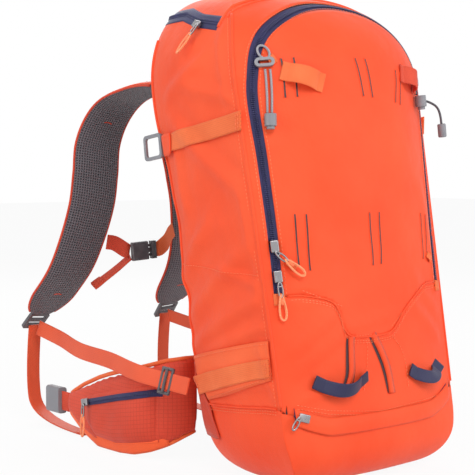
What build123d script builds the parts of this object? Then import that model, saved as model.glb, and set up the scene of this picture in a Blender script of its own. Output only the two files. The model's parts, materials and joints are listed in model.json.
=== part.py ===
from build123d import *
import math
import os
from functools import cache

# Ski touring backpack. X points right seen from the front, the front faces -Y, the
# shoulder harness is on +Y and +Z is up. The origin is on the flat base, on the centre plane.
os.makedirs("parts", exist_ok=True)

# ---- driving dimensions, mm ----
PACK_HEIGHT = 552.0
PACK_HALF_WIDTH = 132.5  # at the base, before its rounding
WIDENING = 0.025  # half width gained for each mm of height
CROWN = 110.0  # height over which the top is rounded
SEAM_Y = -110.0  # widest line of the body, front compartment to main compartment
SEAM_LEAN = 0.187
ROOF_SEAM_Z = PACK_HEIGHT - 30  # above this the seam runs straight up over the roof
FRONT_Y = -114.0
FRONT_LEAN = 0.07
BACK_Y = 80.0
BACK_LEAN = 0.175
WALL = 3.0  # fabric with its lining and foam
SEWN = 0.15  # between pieces sewn to each other
RUN = 0.35  # between pieces that move past each other
ZIP_GAP = 1.6  # between the two tapes of the front zip
FOLD_GAP = 0.8  # along the lid zip and where the flap and lid fold
TAPE_WIDTH = 8.0
TAPE_THICK = 1.1
FLAP_HINGE_Z = 270.0
FLAP_LEG_X = 124.5  # of the front zip, at the hinge
FLAP_SHOULDER_X = 130.0
FLAP_SHOULDER_Z = PACK_HEIGHT - 112
FLAP_TOP_Z = PACK_HEIGHT - 20
ZIP_END_Z = 214.0
LID_HINGE_Y = 20.0
LID_ZIP = [(LID_HINGE_Y, PACK_HEIGHT - 43), (64.0, PACK_HEIGHT - 36)]  # Y and Z along the flank
LID_ZIP += [(101.0, PACK_HEIGHT - 25), (260.0, PACK_HEIGHT - 25)]
BASE_SEAM = [(-200, 62), (-109, 74), (-98, 88), (-88, 95), (-70, 94), (-23, 88), (40, 82), (260, 70)]
PANEL_THICK = 2.0  # divider and base floor
SHEET_THICK = 1.6
STAY_WIDTH = 20.0
STAY_THICK = 3.0
STAY_X = 50.0
PAD_HALF_WIDTH = 92.0
PAD_LOW_Z = 148.0
PAD_HIGH_Z = PACK_HEIGHT - 54
PAD_THICK = 13.0
CHANNEL_HALF_WIDTH = 11.0
CHANNEL_DEPTH = 7.0
LUMBAR_HALF_WIDTH = 77.6
LUMBAR_LOW_Z = 36.0
LUMBAR_HIGH_Z = 140.0
LUMBAR_THICK = 20.0
STRAP_WIDTH = 70.0
STRAP_THICK = 11.0
STRAP_BEAD_R = 6.0
STRAP_ROOT_X = 52.0
STRAP_ROOT_Z = PACK_HEIGHT - 102
STRAP_LINE = [(-54, 230, 452), (-55, 265, 448), (-58, 307, 436), (-64, 333, 412), (-70, 346, 379),
              (-76, 343, 340), (-83, 342, 299), (-92, 352, 253), (-99, 371, 212), (-106, 404, 174),
              (-110, 428, 150)]
WEBBING = 20.0
WEBBING_THICK = 1.8
PANEL_CLOTH = 2.3
WING_THICK = 12.0
WING_X = -141.0  # middle of the wing's foam
WING_END_Y = 306.0
WING_STATIONS = [(-84, 112, 34, 126), (-103, 114.5, 27, 126), (-122, 124, 17, 124), (-135, 142, 9, 118),
                 (WING_X, 166, 3, 111), (WING_X, 196, 0, 104), (WING_X, 218, 0, 98), (WING_X, 240, 0, 91),
                 (WING_X, 274, 14, 77), (WING_X, WING_END_Y, 36, 60)]
WING_BELT = 25.0
SLIDER = (9.0, 13.0, 4.5)
SLIDER_LIFT = 0.45  # over the tape, whose line bends a little along the slider's travel
PULL = (5.5, 15.0, 1.4)
PULL_LOOP = (26.0, 12.0, 2.6)
PULL_DROOP = 5.0  # degrees towards the fabric
LOCK_R = 6.5
LOCK_LENGTH = 13.0
BUTTON_R = 4.4
BUTTON_TRAVEL = 3.5
CORD = 2.8
FREE_CORD_STEPS = [(0, 0, 0), (11, -5, -3), (18, -9, -13), (20, -9, -27)]
LEFT, RIGHT = "left", "right"  # the wearer's: left is -X

PLAIN = PACK_HEIGHT - 252  # height with neither the base's rounding nor the crown's
STATIONS = [0, 4, 12, 26, 48, 80, 130] + [130 + PLAIN * t for t in (0.233, 0.5, 0.767, 1)]
STATIONS += [PACK_HEIGHT - d for d in (82, 52, 30, 15, 5, 0)]
FAR = 420.0


# ---- the bag's outer shape ----
def rounding(u, power):
    """A rounded edge: 0 where it starts, 1 at its end."""
    u = min(max(u, 0.0), 1.0)
    return 1 - (1 - u**power) ** (1 / power)


def smooth(u):
    u = min(max(u, 0.0), 1.0)
    return u * u * (3 - 2 * u)


def section(z):
    """Half width, seam, front and back of the body at a height."""
    top = (z - PACK_HEIGHT + CROWN) / CROWN
    half = PACK_HALF_WIDTH + WIDENING * z - 96 * rounding(top, 2) - 56 * rounding(1 - z / 70, 2)
    seam = SEAM_Y + SEAM_LEAN * z + 115 * rounding(top, 2.5) + 58 * rounding(1 - z / 50, 2)
    front = FRONT_Y + FRONT_LEAN * z - 6 * math.exp(-(((z - 85) / 75) ** 2))
    front += 175 * rounding(top, 2.5) + 60 * rounding(1 - z / 50, 2)
    back = BACK_Y + BACK_LEAN * z + 22 * smooth((z - 260) / 180)
    back -= 60 * rounding(top, 2.2) + 22 * rounding(1 - z / 60, 2)
    return half, seam, front, back


def front_point(x, z, off=0.0):
    """Point on the front at x and z, moved out along the surface normal."""
    half, seam, front, _ = section(z)
    return Vector(x, seam + (front - seam) * (1 - abs(x / half) ** 2.3), z) + front_normal(x, z) * off


def front_normal(x, z):
    def y_at(px, pz):
        half, seam, front, _ = section(pz)
        return seam + (front - seam) * (1 - abs(px / half) ** 2.3)

    across, up = y_at(x + 1, z) - y_at(x - 1, z), y_at(x, z + 1) - y_at(x, z - 1)
    return Vector(across / 2, -1, up / 2).normalized()


def flank_x(y, z, grow=0.0):
    """Half width of the back part of the body at y and z."""
    half, seam, _, back = section(z)
    s = max(y - seam, 0) / (back + grow - seam)
    return (half + grow) * (1 - s**5) ** 0.2 * (1 - 0.05 * s * s)


def back_y(z, grow):
    """Back of the grown body at height z, on the centre plane."""
    level = (z + grow) / (1 + 2 * grow / PACK_HEIGHT)
    return section(level)[3] + grow


def outline(z, grow):
    half, seam, front, back = section(z)
    half, front, back = half + grow, front - grow, back + grow
    level = z + grow * (2 * z / PACK_HEIGHT - 1)
    fore = []
    for i in range(9):
        x = half * math.sin(math.pi / 2 * (i / 4 - 1))
        fore.append((x, seam + (front - seam) * (1 - abs(x / half) ** 2.3), level))
    aft = []
    for i in range(13):
        a = math.pi * i / 12
        r = (abs(math.cos(a)) ** 5 + abs(math.sin(a)) ** 5) ** -0.2
        s = r * math.sin(a)
        aft.append((half * r * math.cos(a) * (1 - 0.05 * s * s), seam + (back - seam) * s, level))
    return Wire([Spline(*fore), Spline(*aft)])


@cache
def body(grow):
    return Solid.make_loft([outline(z, grow) for z in STATIONS], False)


@cache
def skin(low, high):
    return body(high) - body(low)


# ---- cutters ----
def across(points, low=-FAR, high=FAR):
    """Prism along X over a polygon of Y and Z points."""
    face = Plane.YZ * make_face(Polyline(*points, close=True))
    return Pos(low, 0, 0) * extrude(face, high - low)


def through(face, low=-FAR, high=FAR):
    """Prism along Y over a face drawn with X and Z."""
    return Pos(0, high, 0) * extrude(Plane.XZ * face, high - low)


def rounded(half_width, low, high, radius):
    return Pos(0, (low + high) / 2) * RectangleRounded(2 * half_width, high - low, radius)


def front_side(shift=0.0):
    line = [(section(z)[1] + shift, z) for z in STATIONS if z <= ROOF_SEAM_Z]
    return across([(-FAR, -50), (line[0][0], -50)] + line + [(line[-1][0], 700), (-FAR, 700)])


def below_base_seam(shift=0.0):
    line = [(y, z + shift) for y, z in [(-300, 62)] + BASE_SEAM]
    return across([(-300, -50)] + line + [(260, -50)])


def lid_region(shift):
    line = [(y, z + shift) for y, z in LID_ZIP]
    line[0] = (LID_HINGE_Y + shift, line[0][1])
    return across(line + [(260, 700), (LID_HINGE_Y + shift, 700)])


def flap_region(grow, low=FLAP_HINGE_Z):
    """The U of the front zip, grown outwards; its arch meets both legs in line with them."""
    lean = Vector(FLAP_LEG_X - FLAP_SHOULDER_X, FLAP_SHOULDER_Z - FLAP_HINGE_Z)
    start = (-(FLAP_LEG_X + grow), low)
    turn = (-(FLAP_SHOULDER_X + grow), FLAP_SHOULDER_Z)
    arch = [(-112 - 0.8 * grow, FLAP_TOP_Z - 42 + 0.6 * grow)]
    arch.append((-62 - 0.35 * grow, FLAP_TOP_Z - 10.5 + 0.93 * grow))
    half = Spline(turn, *arch, (0, FLAP_TOP_Z + grow), tangents=[lean, Vector(1, 0)])
    edges = [Line(start, turn), half, half.mirror(Plane.YZ)]
    edges += [Line((-turn[0], turn[1]), (-start[0], low)), Line((-start[0], low), start)]
    return through(make_face(edges), high=60)


def back_half():
    return Pos(0, FAR / 2 + 20, 270) * Box(2 * FAR, FAR, 2 * FAR)


def side(name):
    return Pos(FAR / 2 * (-1 if name == LEFT else 1), 0, 270) * Box(FAR, 2 * FAR, 2 * FAR)


# ---- general builders ----
def save(name, *shapes):
    solids = [s for shape in shapes for s in (shape.solids() if hasattr(shape, "solids") else shape)]
    export_step(Compound(children=solids) if len(solids) > 1 else solids[0], f"parts/{name}.step")
    print("saved", name, len(solids), f"{sum(s.volume for s in solids) / 1000:.2f} cm3")


def place(name, point, axis):
    """Print a joint's or mount's place in metres, for the record."""
    direction = Vector(axis).normalized()
    print("place", name, *(round(v / 1000, 6) for v in Vector(point)), *(round(v, 6) for v in direction))


def ribbon(points, width, thick, wide):
    """A flat strap lofted through rectangles square to its line; wide is its width's direction."""
    line = [Vector(p) for p in points]
    widths = width if isinstance(width, list) else [width] * len(line)
    rings = []
    for i, p in enumerate(line):
        along = (line[min(i + 1, len(line) - 1)] - line[max(i - 1, 0)]).normalized()
        flat = (Vector(wide) - along * Vector(wide).dot(along)).normalized()
        plane = Plane(p, x_dir=flat, z_dir=along)
        rings.append((plane * Rectangle(widths[i], thick)).wire())
    return Solid.make_loft(rings, len(rings) == 2)


def flipped(shape):
    return mirror(shape, about=Plane.YZ)


def on_zip(x, z, up, off):
    """A plane on the front: its x across the zip, its y along it, its z outwards."""
    normal = front_normal(x, z)
    flat = (Vector(up) - normal * Vector(up).dot(normal)).normalized()
    return Plane(front_point(x, z, off), x_dir=flat.cross(normal), z_dir=normal)


def make_pull():
    """Metal tab with its cord loop, hanging from a bail at the origin."""
    wide, long, thick = PULL
    loop_long, loop_wide, loop_thick = PULL_LOOP
    ring = extrude(SlotOverall(loop_long, loop_wide) - SlotOverall(loop_long - 6, loop_wide - 6), loop_thick)
    tab = Pos(0, -long / 2, thick / 2) * Box(wide, long, thick)
    return tab + Pos(0, -long - loop_long / 2 + 3, 0) * Rot(0, 0, 90) * ring


def zip_set(name, plane, swing=0.0):
    """Slider and pull; the bail is on top of the slider's nose, so the pull can flip right over."""
    wide, long, thick = SLIDER
    save(f"{name}_slider", plane * (Pos(0, 0, thick / 2) * fillet(Box(wide, long, thick).edges(), 1.2)))
    bail = plane * Pos(0, -long / 2, thick + RUN) * Rot(0, 0, swing) * Rot(PULL_DROOP, 0, 0)
    save(f"{name}_pull", bail * make_pull())
    place(f"{name}_slide", plane.origin, plane.y_dir)
    hinge = bail * Pos(0, 0, PULL[2] / 2)
    place(f"{name}_pull_hinge", hinge.position, (bail * Pos(1, 0, 0)).position - bail.position)


# ---- bag shells and what is inside them ----
def make_shells():
    wall = skin(-WALL, 0.0)
    seam = SEWN / 2
    fine = FOLD_GAP / 2
    upper = wall - below_base_seam(seam)
    save("base_tub", wall & below_base_seam(-seam))
    front = upper & front_side(-seam)
    save("front_shell", front - flap_region(ZIP_GAP / 2, FLAP_HINGE_Z - fine))
    save("front_flap", front & flap_region(-ZIP_GAP / 2, FLAP_HINGE_Z + fine))
    rear = upper - front_side(seam)
    save("main_shell", rear - lid_region(-fine))
    save("main_lid", rear & lid_region(fine))
    half, _, front_y, _ = section(FLAP_HINGE_Z)
    place("front_flap_hinge", (0, front_y - 1, FLAP_HINGE_Z), (1, 0, 0))
    place("main_lid_hinge", (0, LID_HINGE_Y, PACK_HEIGHT - 4.5), (1, 0, 0))


def make_panels():
    inner = body(-WALL - SEWN)
    half = PANEL_THICK / 2
    divider = inner & (front_side(half) - front_side(-half)) - below_base_seam(half + SEWN)
    save("inner_panels", divider, inner & (below_base_seam(half) - below_base_seam(-half)))
    sheet_out = -WALL - 2 * SEWN
    sheet_in = sheet_out - SHEET_THICK
    sheet = skin(sheet_in, sheet_out) & back_half() & through(rounded(100, 96, 500, 30))
    save("frame_sheet", sheet)
    stays = []
    for x in (-STAY_X, STAY_X):
        strip = Pos(x, 298) * RectangleRounded(STAY_WIDTH, 380, 6)
        stays.append(skin(sheet_in - SEWN - STAY_THICK, sheet_in - SEWN) & back_half() & through(strip))
    save("frame_stays", *stays)


def make_back():
    pad = skin(SEWN, PAD_THICK) & back_half()
    pad &= through(rounded(PAD_HALF_WIDTH, PAD_LOW_Z, PAD_HIGH_Z, 26))
    groove = through(rounded(CHANNEL_HALF_WIDTH, PAD_LOW_Z - 20, PAD_HIGH_Z - 40, 8))
    save("back_pad", pad - (skin(PAD_THICK - CHANNEL_DEPTH, PAD_THICK + 3) & back_half() & groove))
    lumbar = skin(SEWN, LUMBAR_THICK) & back_half()
    save("lumbar_pad", lumbar & through(rounded(LUMBAR_HALF_WIDTH, LUMBAR_LOW_Z, LUMBAR_HIGH_Z, 18)))


def make_haul_loop():
    z, bead = PACK_HEIGHT - 68, 3.0
    y = back_y(z, PAD_THICK) + RUN + bead
    outer, inner = rounded(38, z - 2, z + 46, 17), rounded(28, z - 30, z + 36, 12)
    loop = through(outer - inner, y - 1.2, y + 1.2) - Pos(0, y, z - 10) * Box(200, 20, 20)
    bar = Pos(0, y, z) * Rot(0, 90, 0) * Cylinder(bead, 76)
    save("haul_loop", loop + bar)
    place("haul_loop_hinge", (0, y, z), (1, 0, 0))


# ---- zips ----
def make_zips():
    tape = skin(SEWN, SEWN + TAPE_THICK)
    fine = FOLD_GAP / 2
    ring = flap_region(TAPE_WIDTH, ZIP_END_Z) - flap_region(ZIP_GAP / 2, ZIP_END_Z - 50)
    legs = flap_region(TAPE_WIDTH, ZIP_END_Z) - flap_region(-TAPE_WIDTH, ZIP_END_Z - 50)
    legs &= Pos(0, 0, FLAP_HINGE_Z - fine - 100) * Box(2 * FAR, 2 * FAR, 200)
    front_region = front_side(-3 * SEWN)
    front_tape = tape & front_region & (ring + legs)
    tape_on_flap = flap_region(-ZIP_GAP / 2, FLAP_HINGE_Z + fine) - flap_region(-TAPE_WIDTH, 100)
    save("flap_zip_tape", tape & front_region & tape_on_flap)
    band = lid_region(-TAPE_WIDTH) - lid_region(-fine)
    rear = Pos(0, LID_HINGE_Y + 6 + FAR / 2, 500) * Box(2 * FAR, FAR, 200)
    main_tape = tape & band & rear
    band = lid_region(fine) - lid_region(TAPE_WIDTH)
    save("lid_zip_tape", tape & band & rear & through(Pos(0, PACK_HEIGHT - 52) * Rectangle(2 * FAR, 130)))
    base = below_base_seam(TAPE_WIDTH) - below_base_seam(-TAPE_WIDTH)
    ahead = Pos(0, -80 - FAR / 2, 100) * Box(2 * 122, FAR, 400)
    save("zip_tapes", front_tape, main_tape, tape & base & ahead)


def make_zip_hardware():
    rise = front_point(-FLAP_SHOULDER_X, 412) - front_point(-FLAP_LEG_X, 250)
    stand = SEWN + TAPE_THICK + SLIDER_LIFT
    zip_set("front_upper", on_zip(-124.6, 266, rise, stand), swing=46)
    zip_set("front_lower", on_zip(-124.2, 234, rise, stand - 0.3))
    run = front_point(-84, 77) - front_point(-120, 88)
    plane = on_zip(-112, 85, run, stand - 0.45)
    zip_set("base", Plane(plane.origin, x_dir=plane.x_dir, z_dir=plane.z_dir), swing=72)
    y, z = 58.0, LID_ZIP[0][1] + 6 - SLIDER[0] / 2 - 2
    back = Vector(-flank_x(y + 20, z + 4.4), y + 20, z + 4.4) - Vector(-flank_x(y, z), y, z)
    out = Vector(-1, 0, 0.62).normalized()
    flat = (back - out * back.dot(out)).normalized()
    origin = Vector(-flank_x(y, z), y, z) + out * (stand + 0.5)
    zip_set("main", Plane(origin, x_dir=flat.cross(out), z_dir=out), swing=-98)


# ---- flank straps ----
def make_flanks():
    upper = [(-38, 389), (-38, 411), (118, 387), (118, 365)]
    panel = [(75, 132), (-92, 171), (-97, 131), (38, 87)]
    strip = [(66, 110), (-91, 150), (-94, 132), (58, 92)]
    gusset = [(20, 45), (36, 80), (70, 122), (80, 122), (80, 42)]
    low, high = PANEL_CLOTH + 2 * SEWN, PANEL_CLOTH + 2 * SEWN + WEBBING_THICK
    upper_webbing = skin(SEWN, SEWN + WEBBING_THICK) & across(upper)
    lower_webbing = skin(low, high) & across(strip)
    cloth = skin(SEWN, SEWN + PANEL_CLOTH)
    save("side_webbings", *[w & side(n) for w in (upper_webbing, lower_webbing) for n in (LEFT, RIGHT)])
    save("stabiliser_panels", *[cloth & across(panel) & side(n) for n in (LEFT, RIGHT)])
    save("hip_gussets", *[cloth & across(gusset) & side(n) for n in (LEFT, RIGHT)])


def make_hooks():
    """A wire gate hook at the rear end of each compression strap; it swings out on the webbing."""
    y, z = 119.0, 376.0
    x = -flank_x(y, z) - 2.5
    frame = Pos(18, 0) * (RectangleRounded(34, 30, 5) - RectangleRounded(26, 22, 3))
    hook = extrude(Plane((x, y, z), x_dir=(0, 1, 0), z_dir=(-1, 0, 0)) * Rot(0, 0, 8) * frame, 3.2)
    save("side_hook_left", hook)
    save("side_hook_right", flipped(hook))
    place("side_hook_hinge", (x, y + 1, z), (0, 0, 1))


# ---- harness ----
def strap_axis():
    y = back_y(STRAP_ROOT_Z, PAD_THICK) + RUN + STRAP_BEAD_R
    return Vector(-STRAP_ROOT_X, y, STRAP_ROOT_Z)


def make_shoulder_straps():
    root = strap_axis()
    line = [root + Vector(0, 1, 0)] + [Vector(p) for p in STRAP_LINE]
    widths = [58.0, 64.0] + [STRAP_WIDTH] * (len(line) - 4) + [62.0, 40.0]
    pad = ribbon(line, widths, STRAP_THICK, (1, 0, 0))
    bead = Pos(*root) * Rot(0, 90, 0) * Cylinder(STRAP_BEAD_R, 58)
    strap = pad + bead
    save("shoulder_strap_left", strap)
    save("shoulder_strap_right", flipped(strap))
    place("shoulder_strap_hinge", root, (1, 0, 0))
    end, before = Vector(STRAP_LINE[-1]), Vector(STRAP_LINE[-2])
    along = (end - before).normalized()
    flat = (Vector(1, 0, 0) - along * along.X).normalized()
    plane = Plane(end + along * 0.8, x_dir=flat, z_dir=flat.cross(along))
    frame = RectangleRounded(32, 30, 4)
    frame -= Pos(0, -7) * RectangleRounded(WEBBING + 3, 7, 1)
    frame -= Pos(0, 4) * RectangleRounded(WEBBING + 3, 6, 1)
    lock = Plane(plane.origin + along * 15, x_dir=flat, z_dir=plane.z_dir) * extrude(frame, 2, both=True)
    save("strap_ladder_lock_left", lock)
    save("strap_ladder_lock_right", flipped(lock))
    place("ladder_lock_hinge", plane.origin, (1, 0, 0))
    return plane.origin + along * 15


def make_webbings(lock):
    y, z = 66.0, 99.0
    anchor = Vector(-flank_x(y, z) - PANEL_CLOTH - WEBBING_THICK - 2.6, y, z)
    run = [lock + Vector(0, -7, -9.5), lock + Vector(-4, -70, -18), (-130, 300, 114), (-143, 215, 113),
           (-151.5, 160, 109), (-151.2, 130, 106), (-138.5, 88, 101), anchor]
    lower = ribbon(run, WEBBING, WEBBING_THICK, (0.25, 0, 1))
    save("lower_webbings", lower, flipped(lower))
    x = lock.X
    route = [(lock.Y + 1.6, lock.Z - 6.6), (lock.Y + 12, 66), (lock.Y - 3, 1.2), (lock.Y - 130, 1.2)]
    radii = []
    for a, b, c in zip(route, route[1:], route[2:]):
        a, b, c = Vector(*a), Vector(*b), Vector(*c)
        turn = math.radians((b - a).get_angle(c - b))
        radii.append(0.45 * min((b - a).length, (c - b).length) / math.tan(turn / 2))
    print("tail radii", [round(r, 1) for r in radii])
    line = FilletPolyline(*route, radius=radii)
    tail = extrude(Plane.YZ * trace(line, WEBBING_THICK), WEBBING / 2, both=True)
    tail = Pos(x, 0, 0) * tail
    save("webbing_tail_left", tail)
    save("webbing_tail_right", flipped(tail))


def make_sternum():
    left = [(-56, 347, 249), (-48, 339.5, 247), (-38.5, 327.5, 238), (-33.7, 325.9, 235.9)]
    right = [(4.6, 318, 238.4), (9.5, 317, 239), (22, 319, 247), (38, 331, 257), (53.8, 344, 262)]
    tail = [(-29.5, 329.8, 228.8), (-42, 343, 213), (-56, 356, 198), (-68, 362, 188)]
    wide = (0, 0.2, 1)
    bands = [ribbon(line, WEBBING, WEBBING_THICK, wide) for line in (left, right)]
    bands.append(ribbon(tail, WEBBING - 3, WEBBING_THICK, (0.5, 0.5, 0.6)))
    save("sternum_webbings", *bands)
    plane = Plane((-13, 321.5, 237), x_dir=(1, -0.2, 0.08), z_dir=(-0.2, -1, 0))
    shell = Pos(-6, 0, 0) * fillet(Box(22, 25, 10).edges().filter_by(Axis.X), 3)
    shell -= Pos(-1, 0, 0) * Box(22, 19, 5)
    save("sternum_buckle_socket", plane * shell)
    bar = Pos(13.5, 0, 0) * Box(7, 24, 8) - Pos(14, 0, 0) * Box(2.2, WEBBING + 1, 20)
    tongue = Pos(3.3, 0, 0) * Box(13.4, 6, 4)
    save("sternum_buckle_plug", plane * (bar + tongue))
    for name, way in (("upper", 1), ("lower", -1)):
        prong = Pos(2.9, way * 6.3, 0) * Box(13.6, 3.4, 4)
        save(f"sternum_prong_{name}", plane * prong)
        place(f"sternum_prong_{name}_slide", plane.origin, plane.y_dir * -way)


# ---- hip belt ----
def make_wings():
    """Foam wings lofted through upright sections; each stands on its lower edge."""
    rings = []
    plan = [Vector(x, y) for x, y, _, _ in WING_STATIONS]
    for i, (x, y, low, high) in enumerate(WING_STATIONS):
        along = (plan[min(i + 1, len(plan) - 1)] - plan[max(i - 1, 0)]).normalized()
        plane = Plane((x, y, (low + high) / 2), x_dir=(0, 0, 1), z_dir=along)
        rings.append((plane * Rectangle(high - low, WING_THICK)).wire())
    slab = Solid.make_loft(rings, False) & Pos(0, 0, FAR) * Box(2 * FAR, 2 * FAR, 2 * FAR)
    x, y, low, high = WING_STATIONS[0]
    slab += Pos(x, y, (low + high) / 2) * Cylinder(WING_THICK / 2, high - low)
    place("hip_wing_hinge", (x, y, 80), (0, 0, 1))
    out = WING_X - WING_THICK / 2 - 0.6
    pocket = across([(132, 20), (196, 5), (236, 6), (262, 30), (256, 66), (180, 84), (134, 94)],
                    low=out - 7, high=out)
    zip_line = [(136, 80), (136, 88), (256, 60), (256, 52)]
    tape = across(zip_line, low=out - 7 - SEWN - TAPE_THICK, high=out - 7 - SEWN)
    save("hip_wing_left", slab, pocket, tape)
    save("hip_wing_right", flipped(slab), flipped(pocket), flipped(tape))
    run = Vector(0, -120, 28).normalized()
    origin = Vector(out - 7 - SEWN - TAPE_THICK - RUN, 246, 58.3)
    plane = Plane(origin, x_dir=run.cross(Vector(-1, 0, 0)), z_dir=(-1, 0, 0))
    return plane


def make_wing_hardware(plane):
    """Sliders on the wing pockets, each pull hanging straight down beside its slider."""
    wide, long, thick = SLIDER
    slider = plane * Pos(0, 0, thick / 2) * fillet(Box(wide, long, thick).edges(), 1.2)
    hang = Plane(plane.origin + Vector(-thick - RUN, 0, -2.5), x_dir=(0, -1, 0), z_dir=(-1, 0, 0))
    pull = hang * make_pull()
    for name, turn in ((LEFT, lambda s: s), (RIGHT, flipped)):
        save(f"wing_slider_{name}", turn(slider))
        save(f"wing_pull_{name}", turn(pull))
    place("wing_slide", plane.origin, plane.y_dir)
    place("wing_pull_hinge", hang.origin + Vector(-PULL[2] / 2, 0, 0), (0, 1, 0))


def make_waist_buckle():
    """Both buckle halves hang at the ends of the wings on short belt webbing."""
    y, z = WING_END_Y + RUN, 47.0
    bead = Pos(WING_X, y + 3, z) * Cylinder(3, WING_BELT)
    belt = bead + Pos(WING_X, y + 11, z) * Box(WEBBING_THICK, 16, WING_BELT)
    save("belt_webbing_left", belt)
    save("belt_webbing_right", flipped(belt))
    place("belt_end_hinge", (WING_X, y + 3, z), (0, 0, 1))
    frame = Plane((WING_X, y + 19.3, z), x_dir=(0, 1, 0), z_dir=(-1, 0, 0))
    solid = fillet((Pos(15, 0) * Box(30, 34, 13)).edges().filter_by(Axis.X), 4)
    hollow = Pos(20, 0) * Box(22, 26, 6)
    save("waist_buckle_socket", frame * (solid - hollow))
    base = Pos(4, 0) * Box(8, 34, 10)
    tongue = Pos(17, 0) * Box(18, 6, 4)
    save("waist_buckle_plug", flipped(frame * (base + tongue)))
    for name, way in (("upper", 1), ("lower", -1)):
        prong = Pos(16.3 + 3, way * 9.5, 0) * Box(22, 4, 5)
        save(f"waist_prong_{name}", flipped(frame * prong))
        place(f"waist_prong_{name}_slide", (-frame.origin.X, frame.origin.Y, z), (0, 0, -way))
    place("waist_socket", frame.origin, (0, 1, 0))


# ---- carrying loops on the front ----
def make_keepers():
    """Bowed webbing keepers and their cords on the flap, each held by a cord lock."""
    left_ends, right_ends = ((-103, 454), (-60, 441)), ((62, 458), (106, 445))
    bands = []
    for (xa, za), (xb, zb), stand in ((*left_ends, 0.4), (*right_ends, 1.5)):
        points = []
        for t in (0, 0.25, 0.5, 0.75, 1):
            lift = WEBBING_THICK / 2 + stand + 9 * math.sin(math.pi * t)
            points.append(front_point(xa + (xb - xa) * t, za + (zb - za) * t, lift))
        bands.append(ribbon(points, 22, WEBBING_THICK, (0.25, 0, 1)))
    save("tool_keepers", *bands)
    cords = []
    for line in ([(-117.5, 455), (-118, 430), (-119, 408)], [(-113, 455), (-113.5, 430), (-115, 408)],
                 [(113, 447), (112, 441), (111, 435)]):
        cords.append(ribbon([front_point(x, z, CORD / 2 + 0.8) for x, z in line], CORD, CORD, (1, 0, 0)))
    save("keeper_cords", *cords)
    hook_plane = Plane(front_point(-117, 462, 1.9), x_dir=(1, -0.3, 0), z_dir=front_normal(-117, 462))
    hook = extrude(SlotOverall(22, 10) - SlotOverall(15, 4), 4)
    save("keeper_hook", hook_plane * hook)
    place("keeper_hook_swivel", hook_plane.origin, hook_plane.z_dir)
    locks = []
    for name, x, z in ((LEFT, -117.5, 400), (RIGHT, 110, 427)):
        plane = on_zip(x, z, (0, 0, 1), LOCK_R + 0.7)
        axis = Plane(plane.origin, x_dir=plane.x_dir, z_dir=plane.y_dir)
        bore = Pos(0, 0, BUTTON_TRAVEL - 5.4) * Cylinder(BUTTON_R + RUN, LOCK_LENGTH)
        locks.append(axis * (Cylinder(LOCK_R, LOCK_LENGTH) - bore))
        save(f"cord_button_{name}", axis * Pos(0, 0, -4.5) * Cylinder(BUTTON_R, LOCK_LENGTH - 4.5 + 2))
        place(f"cord_button_{name}_slide", axis.origin, axis.z_dir)
    save("cord_locks", *locks)
    make_free_cord(locks[1].center() + Vector(LOCK_R + RUN, 0, 0))


def make_free_cord(exit_point):
    """The loose end of the right keeper's elastic cord, with its toggle."""
    route = [exit_point + Vector(*step) for step in FREE_CORD_STEPS]
    radii = []
    for a, b, c in zip(route, route[1:], route[2:]):
        turn = math.radians((b - a).get_angle(c - b))
        radii.append(0.45 * min((b - a).length, (c - b).length) / math.tan(turn / 2))
    print("free cord radii", [round(r, 1) for r in radii])
    print("free cord points", [tuple(round(v, 2) for v in p) for p in route])
    line = FilletPolyline(*route, radius=radii)
    tube = sweep(Plane(route[0], z_dir=route[1] - route[0]) * Circle(CORD / 2), path=line)
    by_volume = tube.volume / (math.pi * CORD**2 / 4)
    print("free cord length", round(line.length, 2), "volume over section", round(by_volume, 2))
    save("free_cord", tube)
    end = Plane(route[-1], z_dir=route[-1] - route[-2])
    save("cord_toggle", end * Pos(0, 0, 8) * fillet(Cylinder(5, 16).edges(), 1.5))


def make_tool_loops():
    """Two low webbing loops that hold tool shafts above the base zip."""
    loops = []
    for xa, xb, stand in ((-96, -26, 1.9), (44, 104, 2.4)):
        points = []
        for t in (0, 0.2, 0.4, 0.6, 0.8, 1):
            lift = WEBBING_THICK / 2 + stand + 8 * math.sin(math.pi * t)
            drop = 12 * math.sin(math.pi * t)
            points.append(front_point(xa + (xb - xa) * t, 122 - drop, lift))
        loops.append(ribbon(points, WEBBING, WEBBING_THICK, (0, 0, 1)))
    save("tool_loops", *loops)


make_shells()
make_panels()
make_back()
make_haul_loop()
make_zips()
make_zip_hardware()
make_flanks()
make_hooks()
make_webbings(make_shoulder_straps())
make_sternum()
make_wing_hardware(make_wings())
make_waist_buckle()
make_keepers()
make_tool_loops()
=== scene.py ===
# %% [markdown]
# # A ski backpack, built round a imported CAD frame
# The frame is the measured model: every buckle, slider and hinge already sits where it belongs.
# This lesson adds what a viewer sees: the filled fabric skins, seams, zips, webbing and foam.
# Nearly every piece is a surface, a grid of points worked out by a formula of two numbers.

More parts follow.
